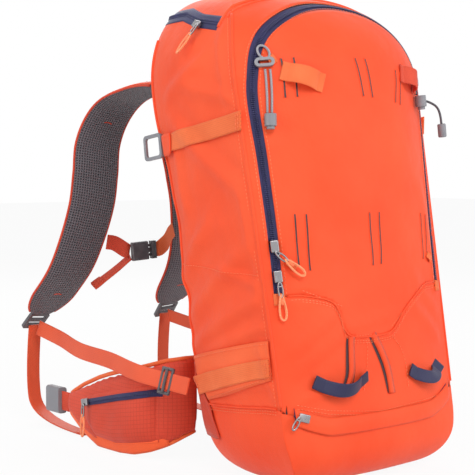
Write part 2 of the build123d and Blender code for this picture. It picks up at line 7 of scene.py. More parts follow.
# %% Load the frame
import bmesh
import bpy
import json
import numpy as np
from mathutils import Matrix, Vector


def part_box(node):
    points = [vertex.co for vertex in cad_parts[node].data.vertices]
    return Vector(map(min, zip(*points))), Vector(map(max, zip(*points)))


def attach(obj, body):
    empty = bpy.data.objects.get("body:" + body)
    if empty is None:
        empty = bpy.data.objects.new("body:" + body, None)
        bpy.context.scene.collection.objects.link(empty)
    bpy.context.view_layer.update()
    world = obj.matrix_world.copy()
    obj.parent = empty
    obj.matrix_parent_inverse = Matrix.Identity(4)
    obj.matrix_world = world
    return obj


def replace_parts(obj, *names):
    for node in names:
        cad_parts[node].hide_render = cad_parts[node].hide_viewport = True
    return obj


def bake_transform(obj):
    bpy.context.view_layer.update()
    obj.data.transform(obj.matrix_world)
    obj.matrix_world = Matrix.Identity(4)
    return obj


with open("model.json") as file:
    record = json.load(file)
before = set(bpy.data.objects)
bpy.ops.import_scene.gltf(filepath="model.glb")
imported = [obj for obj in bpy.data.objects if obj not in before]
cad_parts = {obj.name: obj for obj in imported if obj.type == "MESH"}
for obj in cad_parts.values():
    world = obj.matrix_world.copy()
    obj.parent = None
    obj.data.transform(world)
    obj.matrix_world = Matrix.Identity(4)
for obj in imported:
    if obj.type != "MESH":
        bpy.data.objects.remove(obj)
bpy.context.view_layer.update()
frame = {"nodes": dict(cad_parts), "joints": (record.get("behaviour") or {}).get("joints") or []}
NODES, JOINTS = frame["nodes"], {j["name"]: j for j in frame["joints"]}
MM = 0.001

# %% [markdown]
# ## Camera and light
# The pack is seen from its front left corner, a little above its middle.
# A long lens keeps the upright edges nearly parallel, as in a catalogue picture.
# Large soft lamps and a pale floor give plain light, so that colours show as they are written.

# %% Camera, lamps and floor
scene = bpy.context.scene
scene.view_settings.view_transform = "Standard"


def aimed(data, name, place, target):
    """An object at place whose -Z axis points at target."""
    obj = bpy.data.objects.new(name, data)
    scene.collection.objects.link(obj)
    obj.location = Vector(place)
    obj.rotation_euler = (Vector(target) - obj.location).to_track_quat("-Z", "Y").to_euler()
    return obj


lens = bpy.data.cameras.new("view")
FOCAL_SHARE = 1290 / 475  # focal length over sensor width
lens.sensor_width, lens.lens = 36, 36 * FOCAL_SHARE
lens.clip_start, lens.clip_end = 0.05, 30
scene.camera = aimed(lens, "view", (-1.0348, -1.0932, 0.3548), (0, 0.140, 0.262))

for name, place, size, power in (("key_lamp", (-0.7, -1.7, 1.7), 1.2, 23),
                                 ("fill_lamp", (-2.2, 0.5, 1.2), 1.8, 20),
                                 ("front_lamp", (1.2, -1.9, 0.9), 1.6, 15), ("rim_lamp", (1.0, 1.9, 1.6),
                                                                             1.4, 18)):
    lamp = bpy.data.lights.new(name, "AREA")
    lamp.shape, lamp.size, lamp.energy = "DISK", size, power
    aimed(lamp, name, place, (0, 0.1, 0.28))

world = bpy.data.worlds.new("studio")
scene.world = world
world.use_nodes = True
wn, wl = world.node_tree.nodes, world.node_tree.links
wn["Background"].inputs["Color"].default_value = (1, 1, 1, 1)
wn["Background"].inputs["Strength"].default_value = 0.42
seen = wn.new("ShaderNodeBackground")
seen.inputs["Strength"].default_value = 1.0
rays, either, mix = wn.new("ShaderNodeLightPath"), wn.new("ShaderNodeMath"), wn.new("ShaderNodeMixShader")
either.operation = "MAXIMUM"
wl.new(rays.outputs["Is Camera Ray"], either.inputs[0])
wl.new(rays.outputs["Is Glossy Ray"], either.inputs[1])
wl.new(either.outputs[0], mix.inputs[0])
wl.new(wn["Background"].outputs[0], mix.inputs[1])
wl.new(seen.outputs[0], mix.inputs[2])
seen.inputs["Color"].default_value = (1, 1, 1, 1)
wl.new(mix.outputs[0], wn["World Output"].inputs["Surface"])

# %% [markdown]
# ## Grids, profiles and paths
# Three helpers make almost everything. A grid helper turns an array of points into quads and gives
# them a UV map in metres, so that cloth patterns have their real size. A path helper draws a smooth
# line through a few points. A profile helper carries a small outline along such a line.

# %% Grid helper
def mesh_piece(name, verts, faces, uvs, finish, body):
    """A mesh object from vertices in millimetres, a face array and one UV pair in metres per face corner."""
    mesh = bpy.data.meshes.new(name)
    faces = np.asarray(faces, np.int32)
    mesh.vertices.add(len(verts))
    mesh.vertices.foreach_set("co", (np.asarray(verts, np.float32) * MM).ravel())
    mesh.loops.add(faces.size)
    mesh.loops.foreach_set("vertex_index", faces.ravel())
    mesh.polygons.add(len(faces))
    mesh.polygons.foreach_set("loop_start", np.arange(0, faces.size, faces.shape[1], dtype=np.int32))
    mesh.update(calc_edges=True)
    layer = mesh.uv_layers.new(name="cloth")
    layer.data.foreach_set("uv", np.asarray(uvs, np.float32).ravel())
    mesh.polygons.foreach_set("use_smooth", np.ones(len(faces), bool))
    mesh.validate()
    obj = bpy.data.objects.new(name, mesh)
    scene.collection.objects.link(obj)
    mesh.materials.append(finish)
    if body:
        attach(obj, body)
    return obj


def grid_faces(n, m, close_u=False, close_v=False):
    """Corner indices of the quads of an n by m grid; a closed direction joins its last row to its first."""
    i = np.arange(n if close_u else n - 1)[:, None]
    j = np.arange(m if close_v else m - 1)[None, :]
    corners = [((i + a) % n) * m + (j + b) % m for a, b in ((0, 0), (1, 0), (1, 1), (0, 1))]
    return np.stack(np.broadcast_arrays(*corners), -1).reshape(-1, 4)


def grid_uvs(points, close_u=False, close_v=False):
    """UV per quad corner: the mean length run along each direction of the grid, in metres."""
    def run(along, closed):
        ends = np.concatenate([along, along[:1]]) if closed else along
        return np.concatenate([[0], np.cumsum(np.linalg.norm(np.diff(ends, axis=0), axis=-1).mean(1))]) * MM

    u, v = run(points, close_u), run(points.transpose(1, 0, 2), close_v)
    i, j = np.meshgrid(np.arange(len(u) - 1), np.arange(len(v) - 1), indexing="ij")
    return np.stack([np.stack([u[i + a], v[j + b]], -1) for a, b in ((0, 0), (1, 0), (1, 1), (0, 1))],
                    2).reshape(-1, 4, 2)


def grid_piece(name, points, finish, body, close=(False, False), keep=None, centre=None):
    """Quads over an (n, m, 3) array. keep masks quads; the surface is turned to face away from centre,
    or, without a centre, so that its signed volume, a third of the sum of point . normal, is positive."""
    n, m = points.shape[:2]
    faces, uvs = grid_faces(n, m, *close), grid_uvs(points, *close)
    if keep is not None:
        faces, uvs = faces[keep.ravel()], uvs[keep.ravel()]
    verts = points.reshape(-1, 3)
    a, b, c, d = (verts[faces[:, k]] for k in range(4))
    normal, middle = np.cross(c - a, d - b), (a + b + c + d) / 4
    away = middle - (np.asarray(centre, float) if centre is not None else verts.mean(0))
    if (normal * away).sum() < 0:
        faces, uvs = faces[:, ::-1], uvs[:, ::-1]
    used, faces = np.unique(faces, return_inverse=True)
    return mesh_piece(name, verts[used], faces.reshape(-1, 4), uvs, finish, body)


def thicken(obj, mm, offset=-1.0):
    """Gives a sheet its thickness with a Solidify modifier; offset -1 grows it inwards."""
    mod = obj.modifiers.new("cloth thickness", "SOLIDIFY")
    mod.thickness, mod.offset, mod.use_even_offset = mm * MM, offset, False
    return obj


def distance_along(points):
    """How far each point lies along the line through them all."""
    return np.concatenate([[0], np.cumsum(np.linalg.norm(np.diff(points, axis=0), axis=1))])


def settle(obj):
    """Applies an object's modifiers, so that its mesh is final."""
    bpy.context.view_layer.update()
    made = bpy.data.meshes.new_from_object(obj.evaluated_get(bpy.context.evaluated_depsgraph_get()))
    obj.modifiers.clear()
    obj.data = made


# %% Path and profile helpers
def smooth_path(points, step=2.0):
    """A Catmull-Rom line: from point b to c it is the cubic whose slopes there are (c-a)/2 and (d-b)/2."""
    p = np.asarray(points, float)
    if len(p) == 2:
        t = np.linspace(0, 1, max(2, int(np.linalg.norm(p[1] - p[0]) / step)))[:, None]
        return p[0] + (p[1] - p[0]) * t
    q = np.concatenate([2 * p[:1] - p[1:2], p, 2 * p[-1:] - p[-2:-1]])
    spans = np.linalg.norm(np.diff(p, axis=0), axis=1)
    count = np.maximum((spans / step).astype(int), 2)
    k = np.repeat(np.arange(len(spans)), count)
    t = np.concatenate([np.arange(c) / c for c in count])[:, None]
    a, b, c, d = q[k], q[k + 1], q[k + 2], q[k + 3]
    line = b + 0.5 * t * ((c - a) + t * ((2 * a - 5 * b + 4 * c - d) + t * (3 * b - a - 3 * c + d)))
    return np.concatenate([line, p[-1:]])


def unit(v):
    return v / np.maximum(np.linalg.norm(v, axis=-1, keepdims=True), 1e-9)


def frames(path, wide):
    """At each point of a path: its direction, the width direction square to it, and the third axis."""
    along = unit(np.gradient(path, axis=0))
    wide = np.broadcast_to(np.asarray(wide, float), path.shape)
    across = unit(wide - along * (along * wide).sum(-1, keepdims=True))
    return along, across, np.cross(across, along)


def carried(name, path, profile, wide, finish, body, scale=None):
    """A closed profile of (across, up) pairs carried along a path; both ends close on a middle point."""
    _, across, up = frames(path, wide)
    profile = np.asarray(profile, float)
    size = np.ones((len(path), 2)) if scale is None else np.asarray(scale, float)
    ring = (path[:, None] + across[:, None] * (profile[None, :, :1] * size[:, None, :1])
            + up[:, None] * (profile[None, :, 1:] * size[:, None, 1:]))
    middle = ring.mean(1, keepdims=True)
    ring = np.concatenate([middle[:1] + (ring[:1] - middle[:1]) * k for k in (0.0, 0.6)]
                          + [ring] + [middle[-1:] + (ring[-1:] - middle[-1:]) * k for k in (0.6, 0.0)])
    return closed_grid(name, ring, finish, body)


def closed_grid(name, ring, finish, body):
    """A tube of rings as a closed piece: its signed volume decides which way its faces point."""
    n, m = ring.shape[:2]
    faces, uvs = grid_faces(n, m, False, True), grid_uvs(ring, False, True)
    verts = ring.reshape(-1, 3)
    a, b, c, d = (verts[faces[:, k]] for k in range(4))
    if (np.cross(c - a, d - b) * (a + b + c + d)).sum() < 0:
        faces, uvs = faces[:, ::-1], uvs[:, ::-1]
    obj = mesh_piece(name, verts, faces, uvs, finish, body)
    shape = bmesh.new()
    shape.from_mesh(obj.data)
    bmesh.ops.remove_doubles(shape, verts=shape.verts, dist=1e-7)
    shape.to_mesh(obj.data)
    shape.free()
    return obj


def flat_profile(width, thick, n=5):
    """Outline of a strap: a flat rectangle whose two short sides are half round."""
    a = np.linspace(-np.pi / 2, np.pi / 2, n)
    half, r = width / 2 - thick / 2, thick / 2
    side = np.stack([half + r * np.cos(a), r * np.sin(a)], 1)
    top = np.stack([np.linspace(half, -half, 7)[1:-1], np.full(5, r)], 1)
    return np.concatenate([side, top, -side, -top])


def round_profile(radius, n=12):
    a = np.arange(n) * 2 * np.pi / n
    return np.stack([np.cos(a), np.sin(a)], 1) * radius


def mirrored(points):
    return np.asarray(points, float) * [-1, 1, 1]

# %% [markdown]
# ## Finishes
# Cloth is made of threads, so a flat colour never looks like cloth. Each effect that several finishes
# share is a node group, built once: a woven relief that follows the UV map, soft wrinkles and
# colour drift that follow the object's own coordinates. Each material then sets its own numbers.

# %% Node helpers
def group(name, inputs, outputs):
    """A new shader node group with its sockets; returns the tree and its two end nodes."""
    tree = bpy.data.node_groups.new(name, "ShaderNodeTree")
    for label, kind, value in inputs:
        socket = tree.interface.new_socket(name=label, in_out="INPUT", socket_type=kind)
        if value is not None:
            socket.default_value = value
    for label, kind in outputs:
        tree.interface.new_socket(name=label, in_out="OUTPUT", socket_type=kind)
    return tree, tree.nodes.new("NodeGroupInput"), tree.nodes.new("NodeGroupOutput")


def node(tree, kind, settings=(), **inputs):
    """A node with its settings; an input is a number, a colour or another node's output socket."""
    made = tree.nodes.new(kind)
    for key, value in dict(settings).items():
        setattr(made, key, value)
    for key, value in inputs.items():
        numbered = key[0] == "i" and key[1:].isdigit()
        socket = made.inputs[int(key[1:]) if numbered else key.replace("_", " ")]
        if isinstance(value, bpy.types.NodeSocket):
            tree.links.new(value, socket)
        else:
            socket.default_value = value
    return made


def maths(tree, operation, a, b=0.0):
    return node(tree, "ShaderNodeMath", {"operation": operation}, i0=a, i1=b).outputs[0]


FLOAT = "NodeSocketFloat"

# %% Woven relief: threads over and under
weave, gin, gout = group("woven threads", [("Across", FLOAT, 1000.0), ("Along", FLOAT, 1000.0)],
                         [("Height", FLOAT), ("Gap Shade", FLOAT)])
uv = node(weave, "ShaderNodeUVMap", {"uv_map": "cloth"})
xyz = node(weave, "ShaderNodeSeparateXYZ", Vector=uv.outputs[0])
warp = maths(weave, "SINE", maths(weave, "MULTIPLY", xyz.outputs[0], gin.outputs["Across"]))
weft = maths(weave, "SINE", maths(weave, "MULTIPLY", xyz.outputs[1], gin.outputs["Along"]))
crossed = maths(weave, "MULTIPLY", warp, weft)
weave.links.new(maths(weave, "MULTIPLY_ADD", crossed, 0.5), gout.inputs["Height"])
# Painted shade: this output marks the low points between the threads, which the finishes darken.
weave.links.new(maths(weave, "GREATER_THAN", maths(weave, "MULTIPLY", crossed, -1.0), 0.72),
                gout.inputs["Gap Shade"])

# %% Ripstop: a square grid of thicker threads
ripstop, gin, gout = group("ripstop grid", [("Pitch", FLOAT, 0.005), ("Line", FLOAT, 0.12)],
                           [("Mask", FLOAT)])
uv = node(ripstop, "ShaderNodeUVMap", {"uv_map": "cloth"})
xyz = node(ripstop, "ShaderNodeSeparateXYZ", Vector=uv.outputs[0])
lines = []
for k in (0, 1):
    turns = maths(ripstop, "DIVIDE", xyz.outputs[k], gin.outputs["Pitch"])
    lines.append(maths(ripstop, "LESS_THAN", maths(ripstop, "FRACT", turns), gin.outputs["Line"]))
ripstop.links.new(maths(ripstop, "MAXIMUM", *lines), gout.inputs["Mask"])

# %% Soft wrinkles and colour drift
drift, gin, gout = group("cloth drift", [("Scale", FLOAT, 9.0), ("Crumple", FLOAT, 30.0)],
                         [("Tone", FLOAT), ("Height", FLOAT)])
place = node(drift, "ShaderNodeTexCoord").outputs["Object"]
broad = node(drift, "ShaderNodeTexNoise", Vector=place, Scale=gin.outputs["Scale"], Detail=3.0)
fine = node(drift, "ShaderNodeTexNoise", Vector=place, Scale=gin.outputs["Crumple"], Detail=4.0,
            Roughness=0.55)
drift.links.new(broad.outputs["Fac"], gout.inputs["Tone"])
drift.links.new(fine.outputs["Fac"], gout.inputs["Height"])

# %% Wear: scuffs that lighten and dull a hard surface
wear, gin, gout = group("fine scuffs", [("Scale", FLOAT, 700.0)], [("Mask", FLOAT), ("Height", FLOAT)])
place = node(wear, "ShaderNodeTexCoord").outputs["Object"]
grain = node(wear, "ShaderNodeTexNoise", Vector=place, Scale=gin.outputs["Scale"], Detail=2.0)
patch = node(wear, "ShaderNodeTexNoise", Vector=place, Scale=60.0, Detail=3.0)
ramp = node(wear, "ShaderNodeMapRange", Value=patch.outputs["Fac"], From_Min=0.5, From_Max=0.75)
wear.links.new(ramp.outputs[0], gout.inputs["Mask"])
wear.links.new(grain.outputs["Fac"], gout.inputs["Height"])


# %% Cloth and hard finishes
def srgb(*c):
    """Linear values of a screen colour given in 0 to 255."""
    c = np.array(c) / 255
    return (*np.where(c < 0.04045, c / 12.92, ((c + 0.055) / 1.055) ** 2.4), 1.0)


def blank(name):
    material = bpy.data.materials.new(name)
    material.use_nodes = True
    tree = material.node_tree
    return material, tree, tree.nodes["Principled BSDF"]


def use(tree, kind, **inputs):
    made = node(tree, "ShaderNodeGroup", {"node_tree": kind})
    for key, value in inputs.items():
        made.inputs[key].default_value = value
    return made


def cloth(name, colour, dark, threads=(5200, 5200), relief=0.25, crumple=0.35, rough=0.62, sheen=0.1,
          grid=0.0,
          gap_shade=0.35, scale=9.0):
    """Woven fabric: drift mixes its two tones, threads and wrinkles raise the bump, and painted shade darkens
    the low points between threads.
    """
    material, tree, skin = blank(name)
    drifting = use(tree, drift, Scale=scale)
    threads_node = use(tree, weave, Across=threads[0], Along=threads[1])
    tone = node(tree, "ShaderNodeMapRange", Value=drifting.outputs["Tone"], From_Min=0.3, From_Max=0.7)
    base = node(tree, "ShaderNodeMix", {"data_type": "RGBA"}, i0=tone.outputs[0], i6=dark,
                i7=colour).outputs[2]
    # Painted shade in the low points between threads; the ripstop grid adds its own darker threads to the
    # same mask.
    shade = maths(tree, "MULTIPLY", threads_node.outputs["Gap Shade"], gap_shade)
    height = maths(tree, "MULTIPLY", threads_node.outputs["Height"], relief)
    if grid:
        rip = use(tree, ripstop, Pitch=grid)
        height = maths(tree, "ADD", height, maths(tree, "MULTIPLY", rip.outputs["Mask"], 0.4))
        shade = maths(tree, "MAXIMUM", shade, maths(tree, "MULTIPLY", rip.outputs["Mask"], 0.30))
    base = node(tree, "ShaderNodeMix", {"data_type": "RGBA", "blend_type": "MULTIPLY"}, i0=shade, i6=base,
                i7=(0.35, 0.3, 0.3, 1)).outputs[2]
    tree.links.new(base, skin.inputs["Base Color"])
    near = node(tree, "ShaderNodeBump", Strength=0.35, Distance=0.0004, Height=height)
    far = node(tree, "ShaderNodeBump", Strength=crumple, Distance=0.004, Height=drifting.outputs["Height"],
               Normal=near.outputs[0])
    tree.links.new(far.outputs[0], skin.inputs["Normal"])
    skin.inputs["Roughness"].default_value = rough
    skin.inputs["Sheen Weight"].default_value = sheen
    skin.inputs["Sheen Roughness"].default_value = 0.4
    skin.inputs["Specular IOR Level"].default_value = 0.3
    return material


def hard(name, colour, worn, rough, metal=0.0, grain=0.12):
    """Moulded or cast surface: scuffs mix in the worn colour, fine grain breaks up the gloss."""
    material, tree, skin = blank(name)
    scuffs = use(tree, wear)
    base = node(tree, "ShaderNodeMix", {"data_type": "RGBA"},
                i0=maths(tree, "MULTIPLY", scuffs.outputs["Mask"], 0.5),
                i6=colour, i7=worn).outputs[2]
    tree.links.new(base, skin.inputs["Base Color"])
    gloss = node(tree, "ShaderNodeMapRange", Value=scuffs.outputs["Mask"], To_Min=rough,
                 To_Max=min(rough + 0.2, 1.0))
    tree.links.new(gloss.outputs[0], skin.inputs["Roughness"])
    bump = node(tree, "ShaderNodeBump", Strength=grain, Distance=0.0002, Height=scuffs.outputs["Height"])
    tree.links.new(bump.outputs[0], skin.inputs["Normal"])
    skin.inputs["Metallic"].default_value = metal
    return material


shell_cloth = cloth("orange shell cloth", srgb(252, 90, 46), srgb(246, 76, 32), relief=0.2, crumple=0.5,
                    rough=0.6)
flank_cloth = cloth("orange flank cloth", srgb(252, 94, 50), srgb(244, 80, 38), relief=0.25, crumple=0.55,
                    rough=0.62)
webbing_cloth = cloth("orange webbing", srgb(246, 122, 70), srgb(236, 106, 56), threads=(3000, 1500),
                      relief=0.9,
                      crumple=0.1, rough=0.7, gap_shade=0.5, scale=30)
strap_webbing = cloth("red orange webbing", srgb(240, 98, 60), srgb(226, 84, 48), threads=(3000, 1500),
                      relief=0.9,
                      gap_shade=0.5, rough=0.55, crumple=0.12)
deep_webbing = cloth("deep orange webbing", srgb(226, 84, 58), srgb(212, 70, 46), threads=(3000, 1500),
                     relief=0.9,
                     crumple=0.1, rough=0.7, gap_shade=0.5, scale=30)
wing_cloth = cloth("brick ripstop", srgb(226, 82, 58), srgb(206, 66, 42), relief=0.3, grid=0.0045, rough=0.6)
band_cloth = cloth("hip band cloth", srgb(255, 112, 64), srgb(246, 98, 50), relief=0.3, rough=0.62)
# The dark lining also serves as painted shade in the openings of the pocket's pleats.
lining_and_pleat_shade_cloth = cloth("dark lining and pleat shade", srgb(84, 60, 66), srgb(66, 50, 56), relief=0.3)
navy_tape = cloth("navy zip tape", srgb(54, 54, 98), srgb(42, 42, 80), threads=(4200, 2600), relief=0.7,
                  crumple=0.05,
                  rough=0.6, gap_shade=0.4, scale=40)
navy_webbing = cloth("navy webbing", srgb(50, 50, 84), srgb(38, 38, 68), threads=(3000, 1500), relief=0.9,
                     rough=0.5,
                     crumple=0.1, gap_shade=0.5)
navy_teeth = hard("navy coil", srgb(40, 40, 84), srgb(70, 70, 120), 0.38)
orange_thread = cloth("orange thread", srgb(255, 136, 92), srgb(245, 118, 74), rough=0.5, relief=0.1,
                      crumple=0.0)
grey_plastic = hard("grey plastic", srgb(132, 132, 138), srgb(160, 160, 166), 0.42)
dark_plastic = hard("dark plastic", srgb(84, 80, 84), srgb(116, 112, 116), 0.45)
# Black plastic also serves as painted shade in the front's slits.
black_plastic_and_slit_shade = hard("black plastic and slit shade", srgb(40, 38, 42), srgb(80, 78, 80), 0.5)
bright_metal = hard("zinc slider", srgb(150, 148, 150), srgb(190, 188, 190), 0.26, metal=1.0, grain=0.05)
print("finishes:", len(bpy.data.materials))

# %% Spacer mesh: small six-sided holes over dark foam
spacer_mesh, tree, skin = blank("grey spacer mesh")
uv = node(tree, "ShaderNodeUVMap", {"uv_map": "cloth"}).outputs[0]
holes = node(tree, "ShaderNodeTexVoronoi", {"feature": "DISTANCE_TO_EDGE"}, Vector=uv, Scale=290.0,
             Randomness=0.12)
rim = node(tree, "ShaderNodeMapRange", Value=holes.outputs["Distance"], From_Min=0.06, From_Max=0.3)
base = node(tree, "ShaderNodeMix", {"data_type": "RGBA"}, i0=rim.outputs[0], i6=srgb(122, 116, 122),
            i7=srgb(46, 43, 50)).outputs[2]
tree.links.new(base, skin.inputs["Base Color"])
depth = maths(tree, "SUBTRACT", 1.0, rim.outputs[0])
bump = node(tree, "ShaderNodeBump", Strength=0.7, Distance=0.0009, Height=depth)
tree.links.new(bump.outputs[0], skin.inputs["Normal"])
skin.inputs["Roughness"].default_value = 0.8
skin.inputs["Sheen Weight"].default_value = 0.2


# %% Braided cord: two sets of threads that wind round it
def braid(name, colour, fleck):
    """Cord cover: a slanting lattice along the cord's own UV, with a fleck of a second colour."""
    material, tree, skin = blank(name)
    uv = node(tree, "ShaderNodeUVMap", {"uv_map": "cloth"})
    xyz = node(tree, "ShaderNodeSeparateXYZ", Vector=uv.outputs[0])
    u, v = (maths(tree, "MULTIPLY", s, 1900.0) for s in xyz.outputs[:2])
    one, two = maths(tree, "SINE", maths(tree, "ADD", u, v)), maths(tree, "SINE",
                                                                maths(tree, "SUBTRACT", u, v))
    height = maths(tree, "MAXIMUM", one, two)
    mask = maths(tree, "GREATER_THAN", maths(tree, "MULTIPLY", one, two), 0.55)
    base = node(tree, "ShaderNodeMix", {"data_type": "RGBA"}, i0=mask, i6=colour, i7=fleck).outputs[2]
    tree.links.new(base, skin.inputs["Base Color"])
    bump = node(tree, "ShaderNodeBump", Strength=0.6, Distance=0.0003, Height=height)
    tree.links.new(bump.outputs[0], skin.inputs["Normal"])
    skin.inputs["Roughness"].default_value = 0.6
    skin.inputs["Sheen Weight"].default_value = 0.2
    return material


grey_cord = braid("grey elastic cord", srgb(150, 148, 156), srgb(190, 188, 192))
dark_cord = braid("dark cord", srgb(70, 66, 74), srgb(110, 106, 112))
pull_cord = braid("orange pull cord", srgb(255, 142, 84), srgb(255, 196, 160))

# %% [markdown]
# ## The filled bag
# A packed bag is a stuffed tube: its outline changes slowly with height, rounds off at the base and
# rolls over into a crown at the top. The CAD model gives that outline as four numbers at each height.
# Here the same formula makes one closed skin, and each sewn panel is the part of it on one side of
# its seams. Folds are then added as long soft ridges, placed where the cloth is pulled.

# %% The outline at a height
TOP, CROWN = 552.0, 110.0


def rounding(u, power):
    """A rounded edge, 0 where it starts and 1 at its end: 1 - (1 - u^p)^(1/p)."""
    u = np.clip(u, 0, 1)
    return 1 - (1 - u**power) ** (1 / power)


def smooth(u):
    u = np.clip(u, 0, 1)
    return u * u * (3 - 2 * u)


def section(z):
    """Half width, seam, front and back of the bag at height z, in millimetres."""
    top = (z - TOP + CROWN) / CROWN
    half = 132.5 + 0.025 * z - 96 * rounding(top, 2) - 56 * rounding(1 - z / 70, 2)
    seam = -110 + 0.187 * z + 115 * rounding(top, 2.5) + 58 * rounding(1 - z / 50, 2)
    front = -114 + 0.07 * z - 6 * np.exp(-(((z - 85) / 75) ** 2)) + 175 * rounding(top, 2.5)
    front = front + 60 * rounding(1 - z / 50, 2)
    back = 80 + 0.175 * z + 22 * smooth((z - 260) / 180) - 60 * rounding(top,
                                                                2.2) - 22 * rounding(1 - z / 60, 2)
    return half, seam, front, back


def skin_at(turn, rise):
    """The closed skin. turn 0 to 1 runs over the front from -X to +X, 1 to 2 back round the wearer's side.
    rise 0 to 1 is base to crown, and -1 to 0 and 1 to 2 draw the last outline in to a middle line."""
    low, high = np.clip(-rise, 0, 1), np.clip(rise - 1, 0, 1)
    r = np.clip(rise, 0, 1) * 3
    z = np.where(r < 0.5, 70 * (1 - np.cos(np.pi * np.clip(r, 0, 0.5))),
                 np.where(r < 2, 70 + (r - 0.5) / 1.5 * (TOP - CROWN - 70),
                          TOP - CROWN + CROWN * np.sin(np.pi / 2 * np.clip(r - 2, 0, 1))))
    half, seam, front, back = section(z)
    u = np.sin(np.pi / 2 * (2 * np.clip(turn, 0, 1) - 1))
    front_x, front_y = half * u, seam + (front - seam) * (1 - np.abs(u) ** 2.3)
    a = np.pi * np.clip(turn - 1, 0, 1)
    c, s = np.cos(a), np.sin(a)
    reach = (np.abs(c) ** 5 + np.abs(s) ** 5) ** -0.2
    s = reach * s
    back_x, back_y = half * reach * c * (1 - 0.05 * s * s), seam + (back - seam) * s
    x, y = np.where(turn <= 1, front_x, back_x), np.where(turn <= 1, front_y, back_y)
    middle = np.where(rise > 0.5, (front + back) / 2, (seam + back) / 2)
    k = (1 - low) * (1 - high)
    return np.stack([x * k, middle + (y - middle) * k, z], -1)


def front_y(x, z):
    half, seam, front, _ = section(z)
    return seam + (front - seam) * (1 - np.abs(np.clip(x / half, -1, 1)) ** 2.3)


def on_front(x, z, off=0.0):
    """Points on the front at x and z, lifted off along the surface normal."""
    x, z = np.broadcast_arrays(np.asarray(x, float), np.asarray(z, float))
    across, up = front_y(x + 1, z) - front_y(x - 1, z), front_y(x, z + 1) - front_y(x, z - 1)
    normal = unit(np.stack([across / 2, -np.ones_like(x), up / 2], -1))
    return np.stack([x, front_y(x, z), z], -1) + normal * np.asarray(off)[..., None], normal


def flank_x(y, z):
    half, seam, _, back = section(z)
    s = np.clip((y - seam) / (back - seam), 0, 0.9999)
    return half * (1 - s**5) ** 0.2 * (1 - 0.05 * s * s)


def on_flank(y, z, off=0.0, side=-1):
    """Points on a flank at y and z, lifted off; side is -1 on the wearer's left."""
    y, z = np.broadcast_arrays(np.asarray(y, float), np.asarray(z, float))
    along, up = flank_x(y + 1, z) - flank_x(y - 1, z), flank_x(y, z + 1) - flank_x(y, z - 1)
    normal = unit(np.stack([np.ones_like(y), -along / 2, -up / 2], -1)) * [side, 1, 1]
    return np.stack([side * flank_x(y, z), y, z], -1) + normal * np.asarray(off)[..., None], normal


# %% Seam lines, as distances that change sign at the seam
BASE_SEAM = np.array([(-300, 62), (-200, 62), (-109, 74), (-98, 88), (-88, 95), (-70, 94), (-23, 88),
                      (40, 82), (260, 70)], float)
LID_ZIP = np.array([(20, 509), (64, 516), (101, 527), (260, 527)], float)


def above_base(p):
    return p[..., 2] - np.interp(p[..., 1], *BASE_SEAM.T)


def ahead_of_seam(p):
    return section(np.minimum(p[..., 2], 522))[1] - p[..., 1]


arch = smooth_path([(-124.5, 150), (-124.5, 270), (-127.2, 355), (-130, 440), (-112, 490), (-62, 521.5),
                    (0, 532),
                    (62, 521.5), (112, 490), (130, 440), (127.2, 355), (124.5, 270), (124.5, 150)], 2.0)


def zip_distance(p):
    """Distance in x and z to the U of the front zip, positive inside it, and -90 for points far from it."""
    near = (p[..., 1] < section(p[..., 2])[1] + 4) & (p[..., 2] > 155)
    flat, line = p[near][:, [0, 2]], arch[::3]
    half = np.interp(flat[:, 1], arch[:len(arch) // 2, 1], -arch[:len(arch) // 2, 0])
    inside = (np.abs(flat[:, 0]) < half) & (flat[:, 1] < 532)
    a, b = line[:-1], line[1:]
    t = np.clip(((flat[:, None] - a) * (b - a)).sum(-1) / ((b - a) ** 2).sum(-1), 0, 1)
    d = np.full(p.shape[:-1], -90.0)
    d[near] = np.linalg.norm(flat[:, None] - a - t[..., None] * (b - a), axis=-1).min(1) * np.where(inside,
                                                                1, -1)
    return d


# %% Folds, drawn as soft ridges along short lines
def ridge(p, q, a, b, width, height, skew=0.0):
    """height * exp(-(d/width)^2) round the line a to b on a flat chart; it fades towards both ends."""
    a, b = np.array(a, float), np.array(b, float)
    length = np.linalg.norm(b - a)
    t = ((p - a[0]) * (b[0] - a[0]) + (q - a[1]) * (b[1] - a[1])) / length**2
    d = ((p - a[0]) * (b[1] - a[1]) - (q - a[1]) * (b[0] - a[0])) / length
    fade = smooth((t + 0.25) / 0.4) * smooth((1.25 - t) / 0.4)
    return height * fade * (np.exp(-(d / width) ** 2) - skew * np.exp(-((d - 1.6 * width) / width) ** 2))


